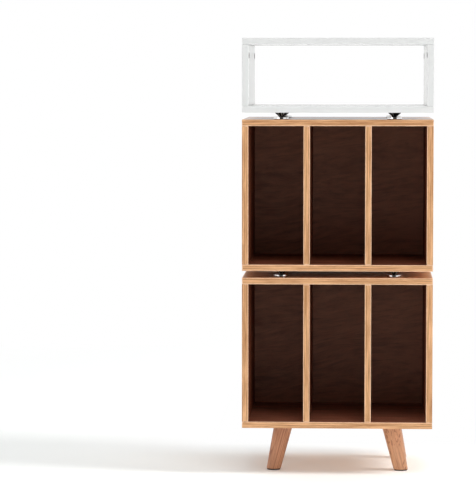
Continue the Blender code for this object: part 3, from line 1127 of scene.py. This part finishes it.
# The glint draws light streaks on the black spikes: a painted reflection.
BLACK = Metal(
    "black_metal", (0.010, 0.010, 0.011), (0.006, 0.006, 0.007), 0.30, metallic=0.0,
    specular=0.08, glint=(0.42, 0.43, 0.43))
STEEL = Metal("polished_steel", (0.94, 0.93, 0.92), (0.90, 0.89, 0.88), 0.05)
ZINC = Metal("zinc", (0.58, 0.58, 0.59), (0.50, 0.50, 0.52), 0.35, is_turned=False)
CAM_ZINC = Metal(
    "dark_zinc", (0.035, 0.035, 0.036), (0.025, 0.025, 0.026), 0.60, metallic=0.0,
    specular=0.0, is_turned=False)
PLASTIC = Metal(
    "dark_plastic", (0.060, 0.030, 0.020), (0.045, 0.022, 0.015), 0.60, metallic=0.0,
    specular=0.1, relief=0.00004, is_turned=False)
# A dark matt finish on each pad's lowest band, for the dark line under the pad.
DARK_PAD_FOOT = replace(
    PLASTIC, name="dark_rubber", colour=(0.040, 0.024, 0.018), shade=(0.030, 0.018, 0.014),
    roughness=0.80, relief=0.00003)


class Paintbox:
    """Makes each finish's material the first time that it is asked for."""

    def __init__(self) -> None:
        """Build the effect groups and start with no material."""
        self.effects = Effects.build()
        self.made: dict[str, bpy.types.Material] = {}

    def material(self, finish: Finish) -> bpy.types.Material:
        """Look up the material of a finish, or make it.

        Args:
            finish: The finish.

        Returns:
            Its material.
        """
        if finish.name not in self.made:
            self.made[finish.name] = finish.make(self.effects)
        return self.made[finish.name]

    def paint(self, piece: bpy.types.Object, finish: Finish) -> None:
        """Give a whole piece one finish."""
        piece.data.materials.clear()
        piece.data.materials.append(self.material(finish))

    def refinish(self, node: bpy.types.Object, finish: Finish) -> None:
        """Give a CAD node that keeps its shape a better finish, in the slots that it has."""
        for slot in node.material_slots:
            slot.material = self.material(finish)

    def repaint(self, piece: bpy.types.Object, finish: Finish,
                test: Callable[[bpy.types.MeshPolygon], bool]) -> None:
        """Give some faces of a painted piece another finish.

        Args:
            piece: The piece, which has its main finish already.
            finish: The faces' finish.
            test: Says whether a face gets it.
        """
        piece.data.materials.append(self.material(finish))
        number = len(piece.data.materials) - 1
        for polygon in piece.data.polygons:
            if test(polygon):
                polygon.material_index = number

    def face(self, piece: bpy.types.Object, sides: Sequence[Side], finish: Finish) -> None:
        """Give the flat faces that look certain ways another finish."""
        self.repaint(
            piece, finish, lambda polygon: any(side.faces(polygon.normal) for side in sides))


def install(piece: bpy.types.Object, node: str, body: str) -> None:
    """Shade a finished piece, let it stand for its CAD node, and let it ride on its body.

    Args:
        piece: The finished piece.
        node: The CAD node that it replaces.
        body: The CAD body that carries it.
    """
    shade(piece)
    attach(piece, body)
    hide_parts(node)
    LOG.info(
        "%s stands for %s on %s, %d faces", piece.name, node, body, len(piece.data.polygons))


# Sub-assemblies


@dataclass(frozen=True)
class Board:
    """A straight board between two corners, with eased edges."""

    low: Vector
    high: Vector
    ease: float = 0.0009
    ease_steps: int = 3
    rim: float = 0.003

    def shape(self, name: str, inner: Sequence[Side]) -> bpy.types.Object:
        """Model the board.

        Args:
            name: The object's name.
            inner: The ways that its faces towards an opening of the cabinet look.

        Returns:
            The board, with its edges marked.
        """
        piece = block(name, self.low, self.high)
        with shaping(piece):
            bpy.ops.mesh.inset(thickness=self.rim, use_individual=True)
        with shaping(piece, "EDGE", "DESELECT"):
            select_edges(piece, self.is_outer_edge)
            bpy.ops.mesh.bevel(
                offset=self.ease, segments=self.ease_steps, profile=0.5, affect="EDGES")
        mark_edges(piece, self.low, self.high, self.rim, inner)
        return piece

    def is_outer_edge(self, start: Vector, end: Vector) -> bool:
        """Tell the block's own edges from those that were added.

        Args:
            start: One end of an edge.
            end: Its other end.

        Returns:
            Whether it lies along one of the block's twelve edges.
        """
        middle = (start + end) / 2
        on_planes = 0
        for axis in range(3):
            gap = min(abs(middle[axis] - self.low[axis]), abs(self.high[axis] - middle[axis]))
            on_planes += gap < ON_PLANE
        return on_planes == 2


@dataclass(frozen=True)
class Drilling:
    """Equal round holes in the underside of a module."""

    places: tuple[tuple[float, float], ...]
    radius: float
    depth: float

    def drill(self, board: bpy.types.Object, underside: float) -> None:
        """Drill the holes.

        Args:
            board: The bottom board.
            underside: The height of its underside.
        """
        for x, y in self.places:
            mouth = Vector((x, y, underside - OVERRUN))
            bore(board, mouth, Vector((x, y, underside + self.depth)), self.radius)


@dataclass(frozen=True)
class Level:
    """Where one record box stands, which way it meets the other, and its colours, partly painted
    light.
    """

    body: str
    lift: float
    drilling: Drilling
    meets: tuple[str, Side]
    top_finish: Timber
    floor_finish: Timber
    tones: dict[str, Tone]


@dataclass(kw_only=True)
class Module:
    """The boards and tongues that the record boxes and the top module share."""

    base: float
    height: float
    width: float = CABINET_WIDTH
    depth: float = 0.400
    board: float = 0.016
    tongue: float = 0.006
    tongue_length: float = 0.006
    tongue_stop: float = 0.020

    @property
    def floor(self) -> float:
        """The height of the inside floor."""
        return self.base + self.board

    @property
    def ceiling(self) -> float:
        """The height of the inside ceiling."""
        return self.base + self.height - self.board

    @property
    def rear(self) -> float:
        """The Y that the tongues are stopped short of at their rear ends."""
        return self.depth / 2

    def flat_board(self, name: str, underside: float, inner: Side) -> bpy.types.Object:
        """Model a plain top or bottom board.

        Args:
            name: The object's name.
            underside: The height of its underside.
            inner: The way that its inner face looks.

        Returns:
            The board.
        """
        low = Vector((-self.width / 2, -self.depth / 2, underside))
        high = Vector((self.width / 2, self.depth / 2, underside + self.board))
        return Board(low, high).shape(name, (inner,))

    def tongue_box(self, x: float, face: float, outwards: int, gap: float) -> Box:
        """Return the corners of a tongue that crosses a face, grown by a gap.

        Args:
            x: The middle of its upright.
            face: The height of the board's face that it crosses.
            outwards: 1 for a tongue that points up, -1 for one that points down.
            gap: The clearance round it.

        Returns:
            Its lowest and highest corner.
        """
        half = self.tongue / 2 + gap
        heights = sorted((face - outwards * OVERRUN, face + outwards * (self.tongue_length + gap)))
        low = Vector((x - half, -self.depth / 2 + self.tongue_stop - gap, heights[0]))
        high = Vector((x + half, self.rear - self.tongue_stop + gap, heights[1]))
        return low, high


@dataclass(kw_only=True)
class RecordBoxes(Module):
    """The record boxes: a top and a bottom board, four uprights and a panel let in behind."""

    levels: tuple[Level, ...]
    base: float = 0.118
    height: float = 0.377
    panel: float = 0.008
    panel_recess: float = 0.014
    panel_rim: float = 0.002
    groove: float = 0.006
    upright_places: tuple[float, ...] = (-1.5, -0.5, 0.5, 1.5)

    @property
    def pitch(self) -> float:
        """The distance from one upright's middle to the next."""
        return (self.width - self.board) / 3

    @property
    def rear(self) -> float:
        """The Y of the back panel's front face."""
        return self.depth / 2 - self.panel_recess - self.panel

    def panel_box(self, gap: float) -> Box:
        """Find the corners of the back panel.

        Args:
            gap: The clearance that it is grown by.

        Returns:
            Its lowest and highest corner.
        """
        half = self.width / 2 - self.board + self.groove + gap
        low = Vector((-half, self.rear - gap, self.floor - self.groove - gap))
        high = Vector((half, self.rear + self.panel + gap, self.ceiling + self.groove + gap))
        return low, high

    def build(self, paintbox: Paintbox) -> None:
        """Model the boards of the lowest box, copy them for the others, and install them all.

        Args:
            paintbox: Gives the finishes.
        """
        left_side, left_divider = (place * self.pitch for place in self.upright_places[:2])
        panel = Board(*self.panel_box(0.0), rim=self.panel_rim)
        boards = {
            "top_board": self.shape_flat(paintbox, "top_board", self.ceiling, 1),
            "bottom_board": self.shape_flat(paintbox, "bottom_board", self.floor, -1),
            "left_side": self.shape_upright(paintbox, "left_side", left_side, True),
            "left_divider": self.shape_upright(paintbox, "left_divider", left_divider, False),
            "back_panel": panel.shape("back_panel", ()),
        }
        boards["right_side"] = mirrored(boards["left_side"], "right_side")
        boards["right_divider"] = copied(
            boards["left_divider"], "right_divider", Vector((self.pitch, 0.0, 0.0)))
        paintbox.paint(boards["back_panel"], WALNUT_PANEL)
        # The panel's rear face gets the walnut darkened with painted shade.
        paintbox.face(boards["back_panel"], (Side.REAR,), WALNUT_REAR_PAINTED_SHADE)
        for level in self.levels:
            for title, pattern in boards.items():
                node = f"{level.body}_{title}"
                board = copied(pattern, f"{node}_finished", Vector((0.0, 0.0, level.lift)))
                tones = level.tones
                mark_tone(board, tones.get(title, (0.0, 0.0)), tones.get(f"{title}_top"))
                # The edges that face the dark gap between the boxes get the full painted edge
                # highlight.
                if title == level.meets[0]:
                    mark_edges(board, *corners_of(board), Board.rim, (Side.TOP, Side.UNDER))
                if title == "top_board":
                    paintbox.face(board, (Side.TOP,), level.top_finish)
                if title == "bottom_board":
                    paintbox.face(board, (Side.TOP,), level.floor_finish)
                    level.drilling.drill(board, self.base + level.lift)
                install(board, node, level.body)
        for pattern in boards.values():
            bpy.data.objects.remove(pattern, do_unlink=True)

    def shape_flat(self, paintbox: Paintbox, name: str, face: float,
                   outwards: int) -> bpy.types.Object:
        """Model the top or the bottom board, with its grooves.

        Args:
            paintbox: Gives the finishes.
            name: The object's name.
            face: The height of its inner face.
            outwards: 1 for the top board, -1 for the bottom board.

        Returns:
            The painted board.
        """
        inner = INNER_SIDES[name]
        board = self.flat_board(name, min(face, face + outwards * self.board), inner)
        for place in self.upright_places:
            cut_block(board, *self.tongue_box(place * self.pitch, face, outwards, CLEARANCE))
        cut_block(board, *self.panel_box(CLEARANCE))
        paintbox.paint(board, HONEY_ACROSS)
        paintbox.face(board, (inner,), WALNUT_ACROSS)
        return board

    def shape_upright(self, paintbox: Paintbox, name: str, x: float,
                      is_side: bool) -> bpy.types.Object:
        """Model one side or divider, with its tongues.

        Args:
            paintbox: Gives the finishes.
            name: The object's name.
            x: The middle of its thickness.
            is_side: Whether it is the left side, and not a divider.

        Returns:
            The painted upright.
        """
        inner = (Side.RIGHT,) if is_side else (Side.LEFT, Side.RIGHT)
        rear = self.depth / 2 if is_side else self.rear - CLEARANCE
        low = Vector((x - self.board / 2, -self.depth / 2, self.floor + CLEARANCE))
        high = Vector((x + self.board / 2, rear, self.ceiling - CLEARANCE))
        upright = Board(low, high).shape(name, inner)
        if is_side:
            cut_block(upright, *self.panel_box(CLEARANCE))
        paintbox.paint(upright, HONEY_UPWARD)
        paintbox.face(upright, inner, WALNUT_UPWARD)
        for face, outwards in ((self.ceiling, 1), (self.floor, -1)):
            join_block(upright, *self.tongue_box(x, face, outwards, 0.0))
        return upright


@dataclass(kw_only=True)
class TopModule(Module):
    """The open top module, with its cam fittings."""

    drilling: Drilling
    base: float = 0.906
    height: float = 0.185
    cam_radius: float = 0.0075
    cam_depth: float = 0.0125
    cam_drop: float = 0.027
    cam_inset: float = 0.035
    cam_sides: int = 48
    bolt_radius: float = 0.003
    bolt_in_board: float = 0.010
    bolt_past_centre: float = 0.0015
    slot_length: float = 0.009
    slot_width: float = 0.0015
    slot_depth: float = 0.0015

    @property
    def cam_height(self) -> float:
        """The height of the cams' middle."""
        return self.ceiling - self.cam_drop

    @property
    def side_x(self) -> float:
        """The distance of each side board's middle from the middle of the cabinet."""
        return (self.width - self.board) / 2

    @property
    def cam_y(self) -> float:
        """The distance of each cam's axis from the middle of the cabinet's depth."""
        return self.depth / 2 - self.cam_inset

    def bore_for_bolt(self, piece: bpy.types.Object, side: int, end: int) -> None:
        """Bore the upright hole for the cam bolt at a corner.

        Args:
            piece: The board or cam to bore.
            side: The sign of the corner's X.
            end: The sign of the corner's Y.
        """
        x, y = side * self.side_x, end * self.cam_y
        top = Vector((x, y, self.ceiling + self.bolt_in_board + CLEARANCE))
        bottom = Vector((x, y, self.cam_height - self.bolt_past_centre - CLEARANCE))
        bore(piece, top, bottom, self.bolt_radius + CLEARANCE)

    def build(self, paintbox: Paintbox) -> None:
        """Model, paint and install the four boards and the four cams.

        Args:
            paintbox: Gives the finishes.
        """
        boards = {
            "top_board": self.flat_board(
                "top_module_top_board_finished", self.ceiling, Side.UNDER),
            "bottom_board": self.flat_board(
                "top_module_bottom_board_finished", self.base, Side.TOP),
            "left_side": self.shape_left_side("top_module_left_side_finished"),
        }
        for corner in CORNERS:
            self.bore_for_bolt(boards["top_board"], corner.side, corner.end)
        for side in (-1, 1):
            groove = self.tongue_box(side * self.side_x, self.floor, -1, CLEARANCE)
            cut_block(boards["bottom_board"], *groove)
        self.drilling.drill(boards["bottom_board"], self.base)
        boards["right_side"] = mirrored(boards["left_side"], "top_module_right_side_finished")
        for title, board in boards.items():
            paintbox.paint(board, WHITE)
            # The inner faces get the white lacquer lightened with painted light.
            paintbox.face(board, (INNER_SIDES[title],), WHITE_INSIDE_PAINTED_LIGHT)
            install(board, f"top_module_{title}", "top_module")
        cams = at_corners(self.shape_cam("cam_lock_front_left_finished"), "cam_lock", self.cam_y)
        for corner, cam in cams.items():
            paintbox.paint(cam, CAM_ZINC)
            install(cam, f"cam_lock_{corner}", "top_module")

    def shape_left_side(self, name: str) -> bpy.types.Object:
        """Model the left side board, with its pockets for the cams and its tongue.

        Args:
            name: The object's name.

        Returns:
            The board.
        """
        x, half = -self.side_x, self.board / 2
        low = Vector((x - half, -self.depth / 2, self.floor + CLEARANCE))
        high = Vector((x + half, self.depth / 2, self.ceiling - CLEARANCE))
        board = Board(low, high).shape(name, (Side.RIGHT,))
        for end in (-1, 1):
            y, z = end * self.cam_y, self.cam_height
            mouth = Vector((x + half + OVERRUN, y, z))
            bottom = Vector((x + half - self.cam_depth - CLEARANCE, y, z))
            bore(board, mouth, bottom, self.cam_radius + CLEARANCE, self.cam_sides)
            self.bore_for_bolt(board, -1, end)
        join_block(board, *self.tongue_box(x, self.floor, -1, 0.0))
        return board

    def shape_cam(self, name: str) -> bpy.types.Object:
        """Model the front left cam: a dished drum with a cross slot and a hole for its bolt.

        Args:
            name: The object's name.

        Returns:
            The cam.
        """
        centre = Vector((-self.side_x + self.board / 2, -self.cam_y, self.cam_height))
        rim = self.cam_radius
        outline = (
            (rim, -self.cam_depth), (rim, 0.0003), (rim - 0.0002, 0.0005),
            (rim - 0.0006, 0.0006), (rim - 0.0013, 0.0006), (rim - 0.0019, 0.0))
        cam = turned(name, centre, outline, self.cam_sides)
        with shaping(cam):
            bpy.ops.transform.rotate(
                value=-math.pi / 2, orient_axis="Y", center_override=centre)
        for long_axis, short_axis in ((1, 2), (2, 1)):
            half = Vector((self.slot_depth, 0.0, 0.0))
            half[long_axis] = self.slot_length / 2
            half[short_axis] = self.slot_width / 2
            cut_block(cam, centre - half, centre + half)
        self.bore_for_bolt(cam, -1, -1)
        return cam


@dataclass
class SpikeSets:
    """Four spikes under each upper module, and a polished pad under each spike."""

    levels: tuple[tuple[str, float, str], ...] = (
        ("lower", 0.512, "lower_box"), ("upper", 0.906, "upper_box"))
    side_x: float = 0.1415
    end_y: float = 0.145
    gap: float = 0.017
    pad_radius: float = 0.019
    pad_foot: float = 0.00095
    stud_radius: float = 0.003
    hole_depth: float = 0.0103
    sides: int = 64

    def stud_holes(self) -> Drilling:
        """Return the holes that a module has for its spikes' studs."""
        places = ring_of(self.side_x, self.end_y)
        return Drilling(places, self.stud_radius + CLEARANCE, self.hole_depth)

    def build(self, paintbox: Paintbox) -> None:
        """Model one spike and one pad, copy them, and install them all.

        Args:
            paintbox: Gives the finishes.
        """
        seat = -self.gap + CLEARANCE
        spike = self.shape_pattern("spike", Vector(), self.spike_outline())
        pad = self.shape_pattern("pad", Vector((0.0, 0.0, seat)), self.pad_outline())
        paintbox.paint(spike, BLACK)
        paintbox.paint(pad, STEEL)
        # Each pad's lowest band is drawn dark.
        paintbox.repaint(pad, DARK_PAD_FOOT, lambda polygon: polygon.center.z < seat + self.pad_foot)
        for level, base, carrier in self.levels:
            for corner in CORNERS:
                place = Vector((corner.side * self.side_x, corner.end * self.end_y, base))
                for pattern, stem, slot in (
                        (spike, "spike", "black_metal"), (pad, "pad", "polished_steel")):
                    node = f"{level}_{stem}_{corner.name}"
                    piece = copied(pattern, f"{node}_finished", place)
                    install(piece, node, node if stem == "spike" else carrier)
        for pattern in (spike, pad):
            bpy.data.objects.remove(pattern, do_unlink=True)

    def shape_pattern(self, name: str, foot: Vector, outline: Outline) -> bpy.types.Object:
        """Model one turned piece on the cabinet's upright axis, with its radius marked.

        Args:
            name: The object's name.
            foot: The point that heights are measured from.
            outline: Pairs of radius and height.

        Returns:
            The piece.
        """
        piece = turned(name, foot, outline, self.sides)
        mark_turning(piece, foot)
        return piece

    def spike_outline(self) -> Outline:
        """Draw the outline of a spike: a stud, a rim, a cone and a blunt tip.

        Returns:
            Pairs of radius and height.
        """
        stud = self.stud_radius
        return (
            (stud - 0.0006, 0.0100), (stud, 0.0094), (stud, -0.0003), (0.0153, -0.0003),
            (0.0155, -0.0005), (0.0155, -0.0018), (0.0154, -0.0020), (0.0148, -0.0024),
            (0.0050, -0.0110), (0.0042, -0.0118), (0.0030, -0.0123), (0.0016, -0.0126))

    def pad_outline(self) -> Outline:
        """Draw the outline of a pad: a dark foot, a polished disc with a rim, and a dimple.

        Returns:
            Pairs of radius and height.
        """
        rim = self.pad_radius
        return (
            (rim - 0.0005, 0.0), (rim - 0.0005, 0.0009), (rim, 0.0009), (rim - 0.0001, 0.0042),
            (rim - 0.0003, 0.0044), (rim - 0.0012, 0.0045), (0.0062, 0.0045), (0.0052, 0.0043),
            (0.0040, 0.0036), (0.0020, 0.0033))


@dataclass
class Stand:
    """The four turned legs with their glides, and the plates and bolts that hold them."""

    height: float = 0.118
    splay: float = SPLAY
    side_x: float = 0.1355
    end_y: float = 0.105
    top_radius: float = 0.023
    foot_radius: float = 0.0176
    foot_round: float = 0.0006
    round_steps: int = 3
    seat: float = 0.0103
    plate: float = 0.003
    boss_radius: float = 0.013
    boss_sides: int = 48
    bolt_radius: float = 0.004
    bolt_in_leg: float = 0.030
    bolt_sides: int = 24
    screw_reach: float = 0.022
    screw_hole_radius: float = 0.0023
    screw_hole_depth: float = 0.0123
    glide_radius: float = 0.0168
    glide_height: float = 0.003
    sides: int = 72

    def screw_holes(self) -> Drilling:
        """Place the holes in the box above for the four screws of each leg plate.

        Returns:
            The holes.
        """
        reaches = (-self.screw_reach, self.screw_reach)
        places = tuple(
            (x + across, y + along) for x, y in ring_of(self.side_x, self.end_y)
            for across in reaches for along in reaches)
        return Drilling(places, self.screw_hole_radius, self.screw_hole_depth)

    def build(self, paintbox: Paintbox) -> None:
        """Model a leg and a glide, copy them, and install them over the painted hardware.

        Args:
            paintbox: Gives the finishes.
        """
        for stem, shape, slot, finishes in (
                ("leg", self.shape_leg, "leg_wood", (LEG_LEFT_PAINTED_SHADE, LEG_RIGHT)),
                ("leg_glide", self.shape_glide, "dark_plastic", (PLASTIC, PLASTIC))):
            pieces = at_corners(shape(f"{stem}_front_left_finished"), stem, self.end_y)
            for corner in CORNERS:
                piece = pieces[corner.name]
                # The left legs get the leg wood darkened with painted shade.
                paintbox.paint(piece, finishes[corner.side > 0])
                install(piece, f"{stem}_{corner.name}", "lower_box")
        for corner in CORNERS:
            for stem in ("leg_plate", "leg_bolt", "cam_bolt"):
                node = frame["nodes"][f"{stem}_{corner.name}"]
                paintbox.refinish(node, ZINC)
                LOG.info("%s keeps its CAD shape", node.name)

    def leg_point(self, distance: float) -> Vector:
        """Return the point on the front left leg's axis that is a distance down from its top."""
        top = Vector((-self.side_x, -self.end_y, self.height))
        return top + Vector((-math.sin(self.splay), 0.0, -math.cos(self.splay))) * distance

    def level_off(self, leg: bpy.types.Object, height: float, **side: bool) -> None:
        """Cut a leg level, close the cut, and clear away one side of it.

        Args:
            leg: The leg.
            height: The height of the cut.
            side: Which side is cleared away.
        """
        with shaping(leg):
            bpy.ops.mesh.bisect(
                plane_co=(0.0, 0.0, height), plane_no=(0.0, 0.0, 1.0), use_fill=True, **side)

    def shape_leg(self, name: str) -> bpy.types.Object:
        """Turn the front left leg, tilt it, level its ends, and bore it for its boss and bolt.

        Args:
            name: The object's name.

        Returns:
            The leg.
        """
        top = self.leg_point(0.0)
        floor = self.height / math.cos(self.splay)
        past = self.foot_radius * math.tan(self.splay) + OVERRUN
        taper = (self.top_radius - self.foot_radius) / (floor - self.seat)
        outline = tuple(
            (self.foot_radius + taper * (floor - down), -down)
            for down in (-past, floor / 2, floor + past))
        leg = turned(name, top, outline, self.sides)
        with shaping(leg):
            bpy.ops.transform.rotate(value=-self.splay, orient_axis="Y", center_override=top)
        self.level_off(leg, self.glide_height + CLEARANCE, clear_inner=True)
        soften(leg, self.foot_round, self.round_steps)
        self.level_off(leg, self.height - self.plate - 2 * CLEARANCE, clear_outer=True)
        pocket, bottom = self.leg_point(self.seat), self.leg_point(self.seat + self.bolt_in_leg)
        bore(leg, self.leg_point(-self.seat), pocket, self.boss_radius + CLEARANCE,
             self.boss_sides)
        bore(leg, self.leg_point(self.seat - OVERRUN), bottom, self.bolt_radius + CLEARANCE,
             self.bolt_sides)
        return leg

    def shape_glide(self, name: str) -> bpy.types.Object:
        """Turn the flat glide under the front left leg.

        Args:
            name: The object's name.

        Returns:
            The glide.
        """
        x = -self.side_x - (self.height - self.glide_height) * math.tan(self.splay)
        rim, top = self.glide_radius, self.glide_height
        outline = (
            (rim - 0.0006, 0.0), (rim - 0.0002, 0.0002), (rim, 0.0006), (rim, top - 0.0006),
            (rim - 0.0002, top - 0.0002), (rim - 0.0006, top))
        return turned(name, Vector((x, -self.end_y, 0.0)), outline, self.sides)


@dataclass(frozen=True)
class Lamp:
    """A soft box that looks at the cabinet.

    The azimuth is in degrees from +X towards the front. The level is how brightly it lights a
    white surface that faces it. A flagged lamp lights the floor alone, and the cabinet only
    shades it.
    """

    name: str
    azimuth: float
    elevation: float
    distance: float
    width: float
    height: float
    level: float
    colour: Colour = (1.0, 1.0, 1.0)
    is_flagged: bool = False

    def hang(self, target: Vector, floor: bpy.types.Object) -> None:
        """Add the lamp.

        Args:
            target: The point that it looks at.
            floor: The floor, which is all that a flagged lamp lights.
        """
        azimuth, elevation = math.radians(self.azimuth), math.radians(self.elevation)
        away = Vector((
            math.cos(elevation) * math.cos(azimuth), -math.cos(elevation) * math.sin(azimuth),
            math.sin(elevation)))
        put_down_all()
        bpy.ops.object.light_add(
            type="AREA", location=target + away * self.distance,
            rotation=(-away).to_track_quat("-Z", "Y").to_euler())
        lamp = bpy.context.object
        lamp.name = self.name
        lamp.data.shape = "RECTANGLE"
        lamp.data.size = self.width
        lamp.data.size_y = self.height
        lamp.data.energy = self.level * math.pi ** 2 * self.distance ** 2
        lamp.data.color = self.colour
        if self.is_flagged:
            lit = bpy.data.collections.new(f"{self.name}_reach")
            lit.objects.link(floor)
            lamp.light_linking.receiver_collection = lit


KEY_LIGHT = Lamp("key_light", 13.0, 35.0, 7.0, 1.8, 2.6, 0.09, (1.0, 0.985, 0.96))


@dataclass
class Studio:
    """The pale floor, the soft light and the camera."""

    floor_size: float = 16.0
    floor_colour: Colour = (0.92, 0.95, 0.945)
    floor_shade: float = 0.985
    floor_roughness: float = 0.9
    speckle: Grain = Grain(60.0, 60.0)
    near: float = 1.4
    far: float = 3.0
    rear_fade: tuple[float, float] = (0.13, 0.36)
    left_fade: tuple[float, float] = (-0.75, -0.35)
    lift: float = 0.105
    ambient_front: float = 0.31
    ambient_back: float = 1.10
    ambient_fade: tuple[float, float] = (-0.3, 0.6)
    room: float = 0.06
    room_fade: tuple[float, float] = (-0.90, -0.80)
    target: Vector = Vector((0.0, 0.0, 0.4))
    camera_place: Vector = Vector((0.061, -6.558, 1.0108))
    camera_yaw: float = 0.04844
    camera_pitch: float = -0.07001
    focal_pixels: float = 2562.0
    picture_height: int = 500
    sensor: float = 36.0
    sight: float = 100.0
    lamps: tuple[Lamp, ...] = (
        KEY_LIGHT,
        replace(KEY_LIGHT, name="floor_light", level=0.64, is_flagged=True),
        Lamp("side_fill", 58.0, 20.0, 6.0, 2.5, 2.0, 0.12),
        Lamp("left_fill", 130.0, 15.0, 6.0, 3.0, 2.0, 0.09),
        Lamp("front_light", 80.0, 62.0, 6.0, 3.0, 2.4, 0.18),
    )

    def build(self) -> None:
        """Set up the floor, the world, the lamps, the camera and the view."""
        floor = self.lay_floor()
        self.light_world()
        for lamp in self.lamps:
            lamp.hang(self.target, floor)
        self.place_camera()
        bpy.context.scene.view_settings.view_transform = "Standard"

    def lay_floor(self) -> bpy.types.Object:
        """Lay a wide pale floor, and return it.

        For rays that see it directly, it turns plain white far away and close behind the
        cabinet, and a little lighter elsewhere.

        Returns:
            The floor.
        """
        put_down_all()
        bpy.ops.mesh.primitive_plane_add(size=self.floor_size, location=(0.0, 0.0, 0.0))
        floor = settle("studio_floor")
        coat = Coat("studio_floor", self.floor_colour)
        graph, place = coat.graph, coat.place
        tone = graph.streaks(place, self.speckle)
        darker = tuple(self.floor_shade * part for part in self.floor_colour)
        coat.link("Base Color", graph.mix(tone, self.floor_colour, darker))
        coat.set(Roughness=self.floor_roughness, Specular_IOR_Level=0.0)
        spot = graph.join("ShaderNodeSeparateXYZ", (place,)).outputs
        behind = graph.math(
            "MULTIPLY", graph.stretch(spot["Y"], *self.rear_fade),
            graph.stretch(spot["X"], *self.left_fade))
        away = graph.stretch(graph.length(place), self.near, self.far)
        seen = graph.seen_directly()
        share = graph.math("MULTIPLY", graph.math("MAXIMUM", away, behind), seen)
        glow = graph.add("ShaderNodeEmission")
        graph.feed(glow.inputs["Strength"], graph.math("MULTIPLY", seen, self.lift))
        lifted = graph.join("ShaderNodeAddShader", (coat.shader.outputs[0], glow.outputs[0]))
        white = graph.add("ShaderNodeEmission")
        surface = graph.blend(share, lifted.outputs[0], white.outputs[0])
        graph.feed(coat.material.node_tree.nodes["Material Output"].inputs["Surface"], surface)
        floor.data.materials.append(coat.material)
        return floor

    def light_world(self) -> None:
        """Fill the room with soft light, most from behind.

        The backdrop is white where it is seen, and mirrored pieces see it fade to the dim room
        in front.
        """
        world = bpy.data.worlds.new("studio")
        bpy.context.scene.world = world
        world.use_nodes = True
        graph, nodes = Graph(world.node_tree), world.node_tree.nodes
        way = graph.add("ShaderNodeTexCoord").outputs["Generated"]
        towards_rear = graph.join("ShaderNodeSeparateXYZ", (way,)).outputs["Y"]
        ambient = graph.stretch(
            towards_rear, *self.ambient_fade, self.ambient_front, self.ambient_back)
        backdrop = graph.math(
            "MAXIMUM", graph.stretch(towards_rear, *self.room_fade, self.room, 1.0),
            graph.add("ShaderNodeLightPath").outputs["Is Camera Ray"])
        fill, white = nodes["Background"], graph.add("ShaderNodeBackground")
        for shader, strength in ((fill, ambient), (white, backdrop)):
            graph.feed(shader.inputs["Color"], (1.0, 1.0, 1.0))
            graph.feed(shader.inputs["Strength"], strength)
        surface = graph.blend(graph.seen_directly(), fill.outputs[0], white.outputs[0])
        graph.feed(nodes["World Output"].inputs["Surface"], surface)

    def place_camera(self) -> None:
        """Put the camera where the photograph was taken from."""
        put_down_all()
        bpy.ops.object.camera_add(
            location=self.camera_place,
            rotation=(math.pi / 2 + self.camera_pitch, 0.0, self.camera_yaw))
        camera = bpy.context.object
        camera.name = "photo_camera"
        camera.data.sensor_width = self.sensor
        camera.data.lens = self.focal_pixels * self.sensor / self.picture_height
        camera.data.clip_end = self.sight
        bpy.context.scene.camera = camera


UPPER_TONES = {
    "top_board": (-0.12, -0.06), "left_side": (-0.02, 0.0), "right_side": (0.0, 0.06),
    "bottom_board": (0.0, 0.06), "back_panel": (-0.04, 0.22)}
# Painted light on the lower box's top face: painted shade at its left end, lit at its right end.
LOWER_TONES = {
    "top_board": (0.0, 0.08), "top_board_top": (-0.55, 0.8), "left_side": (-0.04, 0.0),
    "bottom_board": (-0.02, 0.04), "back_panel": (-0.04, 0.22)}


def main() -> None:
    """Build the cabinet from the floor up, then the studio round it."""
    logging.basicConfig(level=logging.INFO, format="%(message)s")
    paintbox = Paintbox()
    stand, spikes = Stand(), SpikeSets()
    stand.build(paintbox)
    RecordBoxes(levels=(
        Level("lower_box", 0.0, stand.screw_holes(), ("top_board", Side.TOP), HONEY_SHEEN,
              WALNUT_FLOOR_PAINTED_LIGHT, LOWER_TONES),
        Level("upper_box", UPPER_BOX_LIFT, spikes.stud_holes(), ("bottom_board", Side.UNDER),
              HONEY_TOP, WALNUT_ACROSS, UPPER_TONES),
    )).build(paintbox)
    TopModule(drilling=spikes.stud_holes()).build(paintbox)
    spikes.build(paintbox)
    Studio().build()


if __name__ == "__main__":
    main()
